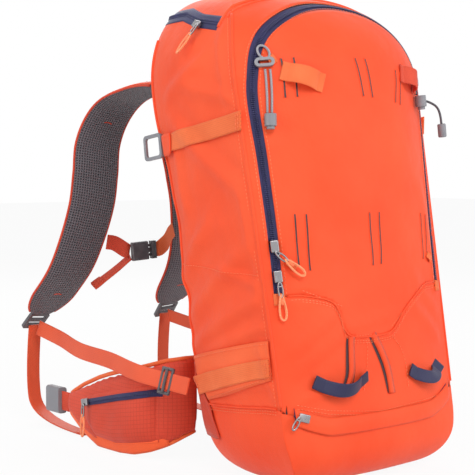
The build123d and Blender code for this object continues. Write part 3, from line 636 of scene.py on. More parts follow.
FRONT_FOLDS = [((-120, 150), (-70, 190), 9, 2.4), ((-122, 130), (-60, 168), 8, 2.2),
               ((-118, 205), (-60, 236), 12, 1.8),
               ((118, 150), (60, 196), 9, 2.2), ((122, 180), (70, 222), 10, 1.8), ((-60, 172), (20, 186),
                                                                           8, 1.2),
               ((-120, 250), (-96, 330), 12, 1.6), ((118, 262), (98, 330), 12, 1.6), ((-100, 300),
                                                                           (-60, 250), 14, 1.2),
               ((-92, 470), (-30, 452), 18, 1.4), ((96, 462), (30, 448), 18, 1.4), ((-45, 330), (20, 300),
                                                                           22, 1.3),
               ((-20, 250), (60, 280), 20, 1.2), ((40, 350), (96, 372), 18, 1.0), ((-128, 98), (-80, 112),
                                                                           6, 1.6)]
FLANK_FOLDS = [((-60, 210), (60, 150), 11, 2.6, 0.3), ((-70, 182), (40, 142), 8, 2.0, 0.2),
               ((-40, 262), (70, 180), 14, 2.8, 0.3),
               ((20, 300), (96, 210), 13, 2.4, 0.2), ((-30, 330), (-60, 236), 10, 1.6, 0.2), ((90, 400),
                   (-20, 330), 13, 2.6, 0.3),
               ((60, 440), (-24, 424), 10, 2.2, 0.2), ((100, 430), (30, 470), 11, 2.2, 0.2), ((10, 500),
                   (-10, 430), 9, 1.6, 0.1),
               ((90, 372), (70, 300), 12, 2.0, 0.3), ((-70, 120), (10, 104), 8, 1.8, 0.2), ((-60, 160),
                   (-84, 104), 7, 1.4, 0.1),
               ((40, 130), (80, 96), 7, 1.6, 0.1), ((0, 236), (-66, 222), 8, 1.6, 0.2), ((50, 260),
                   (0, 290), 12, 1.6, 0.2)]
FLANK_FOLDS = [(a, b, 0.85 * width, 1.7 * lift, skew) for a, b, width, lift, skew in FLANK_FOLDS]


def folds(p):
    """Height of all folds at points p; the front is charted by x and z, each flank by y and z."""
    x, y, z = p[..., 0], p[..., 1], p[..., 2]
    _, seam, _, back = section(z)
    front = smooth((seam - y) / 14)
    flank = smooth((y - seam) / 16) * smooth((back - y - 6) / 30) * smooth((535 - z) / 30)
    height = np.zeros_like(z)
    for a, b, width, lift in FRONT_FOLDS:
        height += front * ridge(x, z, a, b, width, lift, 0.3)
    for a, b, width, lift, skew in FLANK_FOLDS:
        height += flank * ridge(y, z + 7 * (x > 0), a, b, width, lift, skew)
    height += flank * 1.6 * np.sin(y / 23 + z / 31 + 1.3 * np.sin(z / 47)) * np.sin(z / 38 - y / 57)
    height += front * 0.8 * np.sin(x / 27 + 1.2) * np.sin(z / 33 + x / 60)
    return height


# %% Panels: parts of the skin, each snapped to its own seams
TURNS = np.concatenate([np.linspace(0, 1, 151)[:-1], 1 + np.linspace(0, 1, 231)[:-1]])
RISES = np.concatenate([np.linspace(-1, 0, 12)[:-1], np.linspace(0, 1 / 6, 26)[:-1],
                        np.linspace(1 / 6, 2 / 3, 150)[:-1],
                        np.linspace(2 / 3, 1, 90)[:-1], np.linspace(1, 2, 12)])


def panel(name, inside, finish, body, lift=None):
    """The skin where inside(p) > 0. Points near that edge slide on the grid to where inside is 0:
    the step in (turn, rise) is -d * gradient / |gradient|^2."""
    turn, rise = np.meshgrid(TURNS, RISES, indexing="ij")
    for _ in range(2):
        p = skin_at(turn % 2, rise)
        d, h = inside(p), 1e-3
        du = (inside(skin_at((turn + h) % 2, rise)) - d) / h
        dv = (inside(skin_at(turn % 2, rise + h)) - d) / h
        steep = du * du + dv * dv
        near = (np.abs(d) < 2.2) & (steep > 1)
        turn = turn - np.where(near, np.clip(d * du / np.maximum(steep, 1), -0.008, 0.008), 0)
        rise = rise - np.where(near, np.clip(d * dv / np.maximum(steep, 1), -0.008, 0.008), 0)
    p = skin_at(turn % 2, rise)
    d = inside(p)
    n, m = d.shape
    corner = grid_faces(n, m, True, False)
    keep = (d.ravel()[corner] > -0.25).all(1) & (d.ravel()[corner].mean(1) > 0.2)
    h = 2e-3
    along = skin_at((turn + h) % 2, rise) - skin_at((turn - h) % 2, rise)
    up = skin_at(turn % 2, np.minimum(rise + h, 2)) - skin_at(turn % 2, np.maximum(rise - h, -1))
    normal = unit(np.cross(along, up))
    q = p + normal * (folds(p) * np.clip(d / 8, 0, 1) + (lift(p, d) if lift else 0))[..., None]
    obj = grid_piece(name, q, finish, body, close=(True, False), keep=keep, centre=(0, 60, 280))
    thicken(obj, 1.6)
    print(name, len(obj.data.polygons), "quads")
    return obj


HEM = 5.0
FLAP_END = smooth_path([(-150, 213), (-118, 213), (-98, 213), (-66, 206), (-55, 192), (-49, 172),
                        (-34, 165), (12, 165), (28, 172),
                        (50, 192), (88, 213), (110, 215), (150, 214)], 1.5)
FLAP_END = FLAP_END[np.concatenate([[True], np.diff(np.maximum.accumulate(FLAP_END[:, 0])) > 0.05])]
END_SLOPE = np.gradient(FLAP_END[:, 1], FLAP_END[:, 0])


def flap_end(p):
    """Distance above the seam below the flap's hinge where its cloth ends: dz / sqrt(1 + slope^2)."""
    rise = p[..., 2] - np.interp(p[..., 0], *FLAP_END.T)
    return rise / np.sqrt(1 + np.interp(p[..., 0], FLAP_END[:, 0], END_SLOPE) ** 2)


def in_front(p):
    """Ahead of the seam, above the base, outside the flap, and clear of the zip's slot down to its end."""
    d, z = zip_distance(p), p[..., 2]
    slot, flap = np.maximum(np.abs(d) - HEM, 214 - HEM - z), np.minimum(d, flap_end(p) + 0.05)
    return np.minimum(np.minimum(above_base(p), ahead_of_seam(p)), np.minimum(slot, -flap))


def zip_hem(p, d):
    return 1.5 * np.exp(-np.clip(np.maximum(np.abs(zip_distance(p)) - HEM, 205 - p[..., 2]), 0, 60) / 5)


lower_front = panel("front_skin", in_front, shell_cloth, "pack", zip_hem)
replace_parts(lower_front, "front_shell")
flap_skin = panel("front_flap_skin", lambda p: np.minimum(np.minimum(zip_distance(p) - HEM, ahead_of_seam(p)),
                  flap_end(p) - 0.05), shell_cloth, None, zip_hem)
settle(flap_skin)
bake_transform(flap_skin)
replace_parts(flap_skin, "front_flap")


def in_lid_cloth(p):
    """The lid's cloth runs on ahead of the lid's hinge, where it bends, to a seam in the roof."""
    return np.minimum(p[..., 2] - np.interp(p[..., 1], *LID_ZIP.T),
                      p[..., 1] - 12.6 - 7.4 * smooth((508 - p[..., 2] + 22) / 12))


rear_skin = panel("flank_skin", lambda p: np.minimum(np.minimum(above_base(p), -ahead_of_seam(p)),
                  np.maximum(-in_lid_cloth(p), -1e3) - np.where(p[..., 1] < 21, 0.1, HEM)),
                  flank_cloth, "pack")
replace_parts(rear_skin, "main_shell")
lid_skin = panel("lid_skin", lambda p: np.minimum(np.maximum(in_lid_cloth(p) - 0.1, -1e3),
                 p[..., 2] - np.interp(p[..., 1], *LID_ZIP.T) - HEM), flank_cloth, None)
settle(lid_skin)
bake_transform(lid_skin)
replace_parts(lid_skin, "main_lid")
base_skin = panel("base_skin", lambda p: -above_base(p), shell_cloth, "pack")
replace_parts(base_skin, "base_tub")

# %% [markdown]
# ## Seams and stitches
# A sewn seam is two folded edges held by a row of short threads, and piping is a thin cord inside a
# strip of cloth along an edge. Both follow lines on the skin, so each line is found first and then
# lifted off the surface a little. Stitches are one small capsule repeated along the line.


# %% Lines on the skin, piping and stitches
def resample(path, step):
    """Points every step millimetres along a line."""
    run = distance_along(path)
    at = np.linspace(0, run[-1], max(2, int(run[-1] / step) + 1))
    return np.stack([np.interp(at, run, path[:, k]) for k in range(path.shape[1])], 1)


def piping(name, path, radius, finish, body):
    path = resample(path, 4)
    return carried(name, path, round_profile(radius, 8),
                   (0.02, 0.3, 1.0) if abs(path[-1, 2] - path[0, 2]) < 60
                   else (1, 0.2, 0.02), finish, body)


def beads(name, mid, along, normal, long, radius, finish, body):
    """A six-sided capsule at each point: rings at -1, -.6, .6 and 1 of half its length, the ends small."""
    along, normal = unit(along), unit(normal)
    side = np.cross(along, normal)
    a = np.arange(6) * np.pi / 3
    rings = [mid[:, None] + along[:, None] * (t * long / 2) + radius * k * (
        side[:, None] * np.cos(a)[None, :, None] + normal[:, None] * (np.sin(a)[None, :, None] + 0.3))
        for t, k in ((-1, 0.2), (-0.7, 1), (0.7, 1), (1, 0.2))]
    points = np.stack(rings, 1)
    one = np.concatenate([grid_faces(4, 6, False, True)[:, ::-1],
                          [[0, 1, 2, 3], [0, 3, 4, 5], [21, 20, 19, 18], [23, 22, 21, 18]]])
    verts = points.reshape(-1, 3)
    every = (one[None] + 24 * np.arange(len(mid))[:, None, None]).reshape(-1, 4)
    a0, b0, c0, d0 = (verts[every[:, k]] for k in range(4))
    away = (a0 + b0 + c0 + d0) / 4 - np.repeat(points.mean((1, 2)), len(one), axis=0)
    if (np.cross(c0 - a0, d0 - b0) * away).sum() < 0:
        every = every[:, ::-1]
    uvs = np.zeros((len(every), 4, 2)) + np.repeat(np.arange(len(mid)) * long, len(one))[:, None, None] * MM
    return mesh_piece(name, verts, every, uvs, finish, body)


def stitches(name, path, normals, finish, body, pitch=4.2, long=2.7, radius=0.42):
    """Beads spaced by the pitch along a line, each lying along it."""
    run = distance_along(path)
    at = np.arange(pitch / 2, run[-1], pitch)
    pick = lambda line, s: np.stack([np.interp(s, run, line[:, k]) for k in range(3)], 1)
    mid = pick(path, at)
    return beads(name, mid, pick(path, at + 0.8) - pick(path, at - 0.8), pick(normals, at), long, radius,
                 finish, body)


def join_into(name, objects):
    """Joins like pieces into one object, so that a finish with many small parts is one piece."""
    with bpy.context.temp_override(active_object=objects[0], selected_editable_objects=objects):
        bpy.ops.object.join()
    objects[0].name = objects[0].data.name = name
    return objects[0]


seam_z = np.linspace(97, 519, 150)
for side, hand in ((-1, "left"), (1, "right")):
    half, seam, _, _ = section(seam_z)
    edge = np.stack([side * (half + 0.3), seam, seam_z], 1)
    piping(f"front_seam_piping_{hand}", edge, 1.5, shell_cloth, "pack")
    out = np.stack([np.full(150, float(side)), np.full(150, 0.35), np.zeros(150)], 1)
    y = seam + 7
    row = np.stack([side * (flank_x(y, seam_z) + 0.3), y, seam_z], 1)
    stitches(f"front_seam_stitches_{hand}", row, unit(out), orange_thread, "pack")


def roof_line(y_line, top_low=522.0):
    """Points of the roof on the plane y = y_line, from flank to flank: z is found by halving."""
    x = np.linspace(-128, 128, 120)
    low, high = np.full(120, 440.0), np.full(120, 551.9)
    for _ in range(30):
        mid = (low + high) / 2
        half = section(mid)[0]
        outside = (np.abs(x) > half) | (front_y(x, mid) > y_line)
        high, low = np.where(outside, mid, high), np.where(outside, low, mid)
    good = low > top_low - 8
    return np.stack([x[good], np.full(good.sum(), y_line), low[good] + 0.2], 1)


front_roof = roof_line(12.1)
piping("roof_seam_piping", front_roof, 1.4, shell_cloth, "pack")
print("roof seam", front_roof[0].round(1), front_roof[-1].round(1))
lid_edge = roof_line(20.2, 500)
piping("lid_hinge_piping", lid_edge, 2.2, flank_cloth, "pack")

base_rows = []
for side in (-1, 1):
    y = np.linspace(-86, 60, 60)
    for drop in (-3.0, -6.0):
        z = np.interp(y, *BASE_SEAM.T) + drop
        p, normal = on_flank(y, z, 0.3, side)
        base_rows.append(stitches(f"base_row_{side}_{drop}", p, normal, orange_thread, "pack"))
    z = np.interp(y, *BASE_SEAM.T)
    p, normal = on_flank(y, z, 0.6, side)
    piping(f"base_seam_{'left' if side < 0 else 'right'}", p, 1.1, shell_cloth, "pack")
join_into("base_seam_stitches", base_rows)

# %% [markdown]
# ## Zips
# A coil zip is two woven tapes, each with a row of small teeth, and the cloth on both sides is turned
# under beside it. Each tape is a band between two offsets of the zip's line, so both edges stay even,
# and a tooth is one small bead. The half on a panel that opens rides on that panel.


# %% Bands beside a line on the front
def front_band(name, line, low, high, finish, body, off=0.3, columns=5):
    """Rows of points at even distances from low to high to one side of an x, z line, set back on the skin:
    the sideways step is direction x normal, so the band keeps its width where the cloth leans back."""
    flat = resample(line, 4)
    p, normal = on_front(flat[:, 0], flat[:, 1])
    side = unit(np.cross(np.gradient(p, axis=0), normal))
    w = np.linspace(low, high, columns)
    x, z = (flat[:, k, None] + side[:, [0, 2][k], None] * w for k in (0, 1))
    points, _ = on_front(x, np.minimum(z, 545), off)
    obj = grid_piece(name, points, finish, body, centre=(0, 100, 250))
    return thicken(obj, 0.7), p, normal, side


def teeth(name, p, normal, side, shift, body, off=1.0):
    """A row of teeth, one every 2.1 mm, each lying across the zip."""
    run = distance_along(p)
    at = np.arange(1, run[-1], 2.1)
    q, n, s = (np.stack([np.interp(at, run, a[:, k]) for k in range(3)], 1) for a in (p, normal, side))
    return beads(name, q + n * off + s * shift, s, n, 3.0, 0.85, navy_teeth, body)


half_arch = arch[(arch[:, 1] >= 214)]
outer = half_arch
opening = arch[arch[:, 1] >= 270.5]
legs = [half_arch[(half_arch[:, 1] < 270) & (np.sign(half_arch[:, 0]) == k)] for k in (-1, 1)]
tape, p, n, s = front_band("front_zip_outer_tape", outer, 0.3, 8, navy_tape, "pack")
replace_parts(tape, "zip_tapes")
teeth("front_zip_outer_teeth", p, n, s, 1.3, "pack")
tape, p, n, s = front_band("front_zip_inner_tape", opening, -0.3, -8, navy_tape, "flap")
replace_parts(tape, "flap_zip_tape")
teeth("front_zip_inner_teeth", p, n, s, -1.3, "flap")
for leg, hand in zip(legs, ("left", "right")):
    _, p, n, s = front_band(f"front_zip_end_tape_{hand}", leg, -0.3, -8, navy_tape, "pack")
    teeth(f"front_zip_end_teeth_{hand}", p, n, s, -1.3, "pack")


# %% Lid zip and base zip
def band_rows(name, at_width, widths, finish, body):
    """A band from a function that gives the line of points at each width."""
    rows = np.stack([at_width(w) for w in widths], 1)
    return thicken(grid_piece(name, rows, finish, body, centre=(0, 60, 300)), 0.7)


def lid_line(w, off=0.4):
    """The skin at w above the lid zip: the height follows from y, so it is found by repeating."""
    turn = np.linspace(1.0, 2.0, 420)
    z = np.full(420, 520.0)
    for _ in range(12):
        half, seam, _, back = section(z)
        a = np.pi * (turn - 1)
        c, s = np.cos(a), np.sin(a)
        r = (np.abs(c) ** 5 + np.abs(s) ** 5) ** -0.2
        y = seam + (back - seam) * r * s
        z = np.interp(y, *LID_ZIP.T) + w
    x = half * r * c * (1 - 0.05 * (r * s) ** 2)
    good = y > 21
    p = np.stack([x, y, z], 1)[good]
    k = np.linspace(0, len(p) - 1, 300)
    p = np.stack([np.interp(k, np.arange(len(p)), p[:, i]) for i in range(3)], 1)
    n = unit(np.cross(np.gradient(p, axis=0), (0, 0, 1.0)))
    n = n * np.where((n * (p - [0, 60, 515])).sum(1, keepdims=True) < 0, -1, 1)
    return p + unit(n + [0, 0, 0.5]) * off


def base_line(w, off=0.4, reach=121):
    x = np.linspace(-reach, reach, 130)
    z = np.full(130, 75.0)
    for _ in range(12):
        z = np.interp(front_y(x, z), *BASE_SEAM.T)
    return on_front(x, z + w, off)[0]


def row_of_teeth(name, line, shift, body):
    p = resample(line, 2.1)
    along = unit(np.gradient(p, axis=0))
    normal = unit(p - [0, 60, p[:, 2].mean()] + 0.0) * [1, 1, 0] + [0, 0, 0.2]
    up = unit(np.cross(normal, along))
    up *= np.sign(up[:, 2:])
    return beads(name, p + up * shift + unit(normal) * 0.7, up, normal, 3.0, 0.85, navy_teeth, body)


band_rows("main_zip_tape", lid_line, np.linspace(-8, -0.3, 5), navy_tape, "pack")
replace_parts(band_rows("lid_zip_tape_cloth", lid_line, np.linspace(0.3, 8, 5), navy_tape, "lid"),
            "lid_zip_tape")
row_of_teeth("main_zip_teeth", lid_line(0), -1.3, "pack")
row_of_teeth("lid_zip_teeth", lid_line(0), 1.3, "lid")
band_rows("base_zip_tape", base_line, np.linspace(-8, 8, 9), navy_tape, "pack")
row_of_teeth("base_zip_teeth", base_line(0), 0.0, "pack")


# %% [markdown]
# ## Sliders and pulls
# The slider is a cast block that the CAD model already has. The pull is a small stamped tab with a
# loop of cord through it, and hangs from the slider. The hinge of each pull gives its place and axis.

# %% Pulls
def closed_tube(name, ring, z, radius, finish, body):
    """A round tube of that radius along a closed ring of points that lies square to z."""
    n = len(ring)
    out = np.cross(unit(np.roll(ring, -1, 0) - np.roll(ring, 1, 0)), z)
    b = np.arange(8) * np.pi / 4
    tube = ring[:, None] + radius * (out[:, None] * np.cos(b)[None, :, None] + z * np.sin(b)[None, :, None])
    faces, uvs = grid_faces(n, 8, True, True), grid_uvs(tube, True, True)
    verts = tube.reshape(-1, 3)
    first, second, third, fourth = (verts[faces[:, k]] for k in range(4))
    normal = np.cross(third - first, fourth - second)
    away = (first + second + third + fourth) / 4 - np.repeat(ring, 8, 0)
    if (normal * away).sum() < 0:
        faces, uvs = faces[:, ::-1], uvs[:, ::-1]
    return mesh_piece(name, verts, faces, uvs, finish, body)


def pull(name, joint, outward, length=15.0, loop=(26.0, 12.0), corded=True):
    """A tab and a cord loop along -y of the bail's frame; x is the hinge's axis and z points outwards."""
    hinge = JOINTS[joint]
    origin, x = np.array(hinge["pos_m"]) / MM, unit(np.array(hinge["axis"], float))
    low, high = (np.array(c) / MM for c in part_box(name))
    down = unit((low + high) / 2 - origin)
    down = unit(down - x * (down @ x))
    z = np.cross(x, down)
    z = z * np.sign(z @ np.asarray(outward, float))
    x = np.cross(down, z)
    at = lambda a, b, c=0.0: origin + np.multiply.outer(a, x) + np.multiply.outer(b,
        down) + np.multiply.outer(c + 0 * np.asarray(a), z)
    body = hinge["child"]
    a = np.linspace(0, 2 * np.pi, 48, endpoint=False)
    link = at(np.sin(a) * (2.1 + 0.7 * np.sin(a / 2) ** 2), length / 2 - (length / 2 + 0.6) * np.cos(a))
    tab = closed_tube(f"{name}_link", link, z, 0.95, bright_metal, body)
    bar = at(np.linspace(-2.2, 2.2, 6), np.full(6, 4.2))
    carried(f"{name}_bar", bar, round_profile(0.8, 8), down, bright_metal, body)
    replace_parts(tab, name)
    if not corded:
        return tab
    long, wide = loop
    ring = at(np.sin(a) * (wide / 2 - 1.4) * (0.42 + 0.58 * np.sin(a / 2) ** 2) * 1.02,
              length - 2 + (long + 1) * np.sin(a / 2) ** 2, 0.5 * np.sin(2 * a))
    closed_tube(f"{name}_loop", ring, z, 1.3, pull_cord, body)
    t = np.linspace(0, 1, 6)
    carried(f"{name}_grip", at(0 * t, length + 2 + 7 * t), round_profile(2.1, 10), x, orange_thread, body,
            np.stack([0.7 + 0.3 * np.sin(np.pi * t)] * 2, 1))
    return tab


pull("front_upper_pull", "front_upper_pull_hinge", (-0.5, -1, 0))
pull("front_lower_pull", "front_lower_pull_hinge", (-0.5, -1, 0))
pull("base_pull", "base_pull_hinge", (-0.5, -1, 0), corded=False)
pull("main_pull", "main_pull_hinge", (-1, 0, 0.6))
pull("wing_pull_left", "wing_left_pull_hinge", (-1, 0, 0))
pull("wing_pull_right", "wing_right_pull_hinge", (1, 0, 0))

# %% Finishes for the hard parts that the CAD model already shapes
KEPT = {bright_metal: "front_upper_slider front_lower_slider base_slider main_slider "
                      "wing_slider_left wing_slider_right frame_stays",
        grey_plastic: "side_hook_left side_hook_right waist_buckle_socket waist_buckle_plug "
                      "waist_prong_upper waist_prong_lower keeper_hook cord_locks "
                      "cord_button_left cord_button_right cord_toggle",
        dark_plastic: "strap_ladder_lock_left strap_ladder_lock_right sternum_buckle_socket "
                      "sternum_buckle_plug sternum_prong_upper sternum_prong_lower",
        black_plastic_and_slit_shade: "frame_sheet", lining_and_pleat_shade_cloth: "inner_panels",
        webbing_cloth: "haul_loop belt_webbing_left belt_webbing_right"}
for finish, names in KEPT.items():
    for name in names.split():
        NODES[name].data.materials.clear()
        NODES[name].data.materials.append(finish)

# %% [markdown]
# ## Slits and pleats on the front
# The front carries rows of narrow slits that gear can be laced through, and the pocket below it opens in two
# pleats. A slit's opening is a thin black strip of painted shade with a bound edge. A pleat's opening is a
# dark strip, the lining's colour with painted shade, and has a raised lip.


# %% Strips that lie on the front
def laid_on_front(points, off):
    """A line on the folded front, with its normals, from a few x, z points."""
    flat = resample(smooth_path(points, 2), 3)
    p, normal = on_front(flat[:, 0], flat[:, 1])
    return p + normal * (folds(p) + off)[:, None], normal


def strip_on_front(name, points, width, finish, body, off=0.35, taper=None):
    """A flat strip whose width follows taper, set on the folded cloth."""
    p, normal = laid_on_front(points, off)
    side = unit(np.cross(np.gradient(p, axis=0), normal))
    half = width / 2 * (np.ones(len(p)) if taper is None else taper(np.linspace(0, 1, len(p))))
    rows = p[:, None] + side[:, None] * (half[:, None] * np.linspace(-1, 1, 5)[None])[..., None]
    return grid_piece(name, rows, finish, body, centre=(0, 100, 250))


slit_shade_strips, lips = [], []
SLITS = [(-101, 467, -101, 425, "flap"), (-89, 468, -89, 426, "flap"), (-15, 470, -6, 429, "flap"),
         (0, 470, 8, 428, "flap"),
         (52, 460, 50, 424, "flap"), (63, 458, 61, 422, "flap"), (-101, 300, -100, 245, ""), (-88, 300,
                                                                     -88, 240, ""),
         (-6, 300, -4, 242, ""), (9, 300, 9, 243, ""), (94, 296, 96, 244, ""), (105, 294, 106, 246, "")]
for k, (x0, z0, x1, z1, body) in enumerate(SLITS):
    # Each slit's opening is a black strip of painted shade, laid just off the cloth.
    slit_shade_strips.append(strip_on_front(f"slit_{k}", [(x0, z0), (x1, z1)], 1.7, black_plastic_and_slit_shade, body, 0.5))
    for shift in (-1.3, 1.3):
        p, _ = laid_on_front([(x0 + shift, z0 + 0.6), (x1 + shift, z1 - 0.6)], 0.25)
        lips.append((body, carried(f"slit_lip_{k}_{shift}", p, round_profile(0.55, 6), (1, 0, 0),
                                   shell_cloth, body)))
for name, body in (("upper", "flap"), ("lower", "")):
    for piece in (join_into(f"{name}_slits", [s for s, row in zip(slit_shade_strips, SLITS) if row[4] == body]),
                  join_into(f"{name}_slit_lips", [o for b, o in lips if b == body])):
        if not body:
            settle(piece)
            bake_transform(piece)

swell = lambda t: np.clip(np.sin(np.pi * (0.08 + 0.9 * t)), 0.05, 1) ** 0.6
# Each pleat's opening: a dark strip in the lining's colour with painted shade for the hollow inside the
# pleat.
strip_on_front("pleat_shade_left", [(-48, 165), (-50, 145), (-53, 125), (-62, 108)], 4.2, lining_and_pleat_shade_cloth,
               "pack", 0.7, swell)
strip_on_front("pleat_shade_right", [(-15, 164), (-3, 141), (3, 123), (6, 100)], 4.2, lining_and_pleat_shade_cloth, "pack",
               0.7, swell)
for name, points, side in (("pleat_lip_left", [(-45.5, 166), (-47.5, 146), (-50, 125), (-59, 107)], 1),
                           ("pleat_lip_right", [(-12.5, 165), (-0.5, 142), (5.5, 124), (8.5, 99)], 1)):
    p, _ = laid_on_front(points, 0.9)
    carried(name, p, np.array([(-1.6, -0.6), (0, 1.0), (4.5, 0.7), (8, -0.8), (3, -1.2)]) * [1, 1],
            (1, 0, 0), shell_cloth, "pack")
rows = []
for k, points in enumerate(([(-18, 163), (-23, 134), (-31, 106)],
                            [(20, 163), (34, 147), (40, 127), (41, 102)],
                            [(-52, 166), (-16, 166), (21, 164)], [(21, 172), (50, 192),
                                                                  (88, 215)], [(-100, 219), (-53, 200)])):
    p, normal = laid_on_front(points, 0.35)
    rows.append(stitches(f"pleat_row_{k}", p, normal, orange_thread, "pack"))
for shift in (5.5, -5.5):
    line = np.stack([np.linspace(-118, 100, 60), np.interp(np.linspace(-118, 100, 60), [-122, -79, -9, 95],
                                                           [89, 79, 71, 75]) + 9 + shift * 0.35], 1)
    p, normal = laid_on_front(line, 0.3)
    rows.append(stitches(f"storm_row_{shift}", p, normal, orange_thread, "pack"))
join_into("front_pocket_stitches", rows)

p, normal = on_front(*FLAP_END[(np.abs(FLAP_END[:, 0]) < 117)].T, 0.5)
piping("flap_end_piping", p, 1.1, shell_cloth, "pack")
for k in (4.2, 6.4):
    p, normal = on_front(*(FLAP_END[(np.abs(FLAP_END[:, 0]) < 114)] - [0, k]).T, 0.8)
    stitches(f"flap_end_row_{k}", p, normal, orange_thread, "pack")

for hand, x in (("left", -124.5), ("right", 124.5)):
    tab = strip_on_front(f"zip_end_tab_{hand}", [(x, 216.5), (x, 204)], 13, webbing_cloth, "pack", 1.9)
    thicken(tab, 1.2, 0.0)

# %% Storm welt over the base zip, and a row of stitches beside the front zip
widths = np.linspace(-10.5, 8.5, 11)
welt = np.stack([base_line(w, 2.0 + 1.8 * np.cos(np.pi * (w + 1) / 20), 121) for w in widths], 1)
thicken(grid_piece("base_storm_welt", welt, shell_cloth, "pack", centre=(0, 60, 300)), 1.0)
rows = []
for shift, body, line in ((8.6, "pack", half_arch), (-8.6, "flap", opening)):
    flat = resample(line, 3)
    p, n = on_front(flat[:, 0], flat[:, 1])
    side = unit(np.cross(np.gradient(p, axis=0), n))
    x, z = flat[:, 0] + side[:, 0] * shift, flat[:, 1] + side[:, 2] * shift
    p, n = on_front(x, np.minimum(z, 544), 1.1)
    stitches(f"zip_row_{body}", p, n, orange_thread, body)

# %% [markdown]
# ## Webbing keepers, their cords and the low loops
# A keeper is a short piece of webbing sewn down at both ends and bowed between them. Its cord runs
# through a lock that squeezes it. The low loops are navy webbing with a half twist.


# %% Bowed webbing
def bowed(name, a, b, lift, width, finish, body, drop=0.0, twist=0.0, stand=1.4, ends=0.16):
    """Webbing on the front from a to b: lift * sin(pi t) high, with flat sewn ends and a twist."""
    t = np.linspace(0, 1, 40)
    mid = np.clip((t - ends) / (1 - 2 * ends), 0, 1)
    x, z = a[0] + (b[0] - a[0]) * t, a[1] + (b[1] - a[1]) * t - drop * np.sin(np.pi * t)
    p, normal = on_front(x, z)
    p = p + normal * (stand + lift * np.sin(np.pi * mid) ** 0.8)[:, None]
    along = unit(np.gradient(p, axis=0))
    side = unit(np.cross(along, normal))
    up = np.cross(along, side)
    angle = (twist * smooth(mid))[:, None]
    profile = flat_profile(width, 1.8)
    wide = side * np.cos(angle) + up * np.sin(angle)
    high = np.cross(along, wide)
    ring = p[:, None] + wide[:, None] * profile[None, :, :1] + high[:, None] * profile[None, :, 1:]
    middle = ring.mean(1, keepdims=True)
    ring = np.concatenate([middle[:1] + 0 * ring[:1], ring, middle[-1:] + 0 * ring[-1:]])
    return closed_grid(name, ring, finish, body)


keeper = bowed("keeper_webbing_left", (-103, 454), (-60, 441), 9, 21, webbing_cloth, "flap",
               stand=2.0)
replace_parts(keeper, "tool_keepers")
bowed("keeper_webbing_right", (62, 458), (106, 445), 9, 21, deep_webbing, "flap", stand=2.4)
loop = bowed("low_loop_left", (-96, 122), (-26, 122), 8, 15, navy_webbing, "pack", drop=12,
             twist=0.5, stand=3.2)
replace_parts(loop, "tool_loops")
bowed("low_loop_right", (44, 122), (104, 122), 8, 15, navy_webbing, "pack", drop=12,
      twist=-0.5, stand=3.4)


def cord_on_front(name, points, radius, off, finish, body):
    p, _ = on_front(*np.array(smooth_path(points, 2)).T)
    _, n = on_front(*np.array(smooth_path(points, 2)).T)
    return carried(name, p + n * off, round_profile(radius, 8), (1, 0, 0), finish, body)


cords = cord_on_front("keeper_cord_left", [(-117.5, 455), (-118, 430), (-119, 408)], 1.3, 2.2, grey_cord,
                      "flap")
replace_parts(cords, "keeper_cords")
cord_on_front("keeper_cord_left_inner", [(-113, 455), (-113.5, 430), (-115, 408)], 1.3, 2.2, grey_cord,
              "flap")
cord_on_front("keeper_cord_right", [(113, 447), (112, 441), (111, 435)], 1.3, 2.2, dark_cord, "flap")
t = np.linspace(0, 2 * np.pi, 40)
for name, x, z, r, finish in (("keeper_ring_right", 117, 455, 8.5, grey_cord),
                              ("keeper_loop_left", -116, 473, 7, grey_cord)):
    ring, n = on_front(x + r * 0.7 * np.sin(t), z + r * np.cos(t), 2.6)
    carried(name, ring + [0, -1.0, 0], round_profile(1.3, 8), (0, 1, 0.1), finish, "flap")
bowed("hook_tab", (-112, 470), (-108, 461), 2.5, 9, webbing_cloth, "flap", stand=1.2, ends=0.05)
for k, (a, b) in enumerate((((-112, 250), (-104, 242)), ((104, 248), (112, 241)))):
    bowed(f"zip_end_tab_{k}", a, b, 1.5, 8, webbing_cloth, "pack", stand=1.2, ends=0.05)

# %% [markdown]
# ## The free end of the elastic cord
# A thin elastic cord has little stiffness: it leaves its lock, sags at once and ends in a toggle. Its
# curve is one smooth spline through the air, and a round bevel gives it its thickness.

# %% Free cord
def nurbs(name, points):
    """A NURBS spline of order 3 through control points in millimetres."""
    curve = bpy.data.curves.new(name, "CURVE")
    curve.dimensions = "3D"
    spline = curve.splines.new("NURBS")
    spline.points.add(len(points) - 1)
    for point, place in zip(spline.points, points):
        point.co = (*(np.array(place) * MM), 1)
    spline.order_u, spline.use_endpoint_u = 3, True
    curve.resolution_u = 12
    obj = bpy.data.objects.new(name, curve)
    scene.collection.objects.link(obj)
    return obj


def spline_points(name, points):
    """The points that the spline passes, read from a mesh of it, in millimetres."""
    obj = nurbs(name + "_line", points)
    bpy.context.view_layer.update()
    mesh = bpy.data.meshes.new_from_object(obj)
    p = np.zeros(len(mesh.vertices) * 3)
    mesh.vertices.foreach_get("co", p)
    bpy.data.objects.remove(obj)
    bpy.data.meshes.remove(mesh)
    return p.reshape(-1, 3) / MM


FREE_CORD = [(120.56, -60.71, 428.54), (131.56, -65.71, 425.54), (138.56, -69.71, 415.54),
             (140.56, -69.71, 401.54)]
line = spline_points("free_cord", FREE_CORD)
dense = resample(line, 1.0)
free_cord = carried("free_elastic_cord", dense, round_profile(1.4, 10), (0, 1, 0.1), dark_cord, "flap")
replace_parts(free_cord, "free_cord")

# %% [markdown]
# ## Flank straps and hip stabilisers
# Two flat straps cross each flank: one high up that pulls the load in, and one low down on a cloth
# panel that joins the hip wing. Webbing is a flat band of thick ribbed weave with stitched ends.


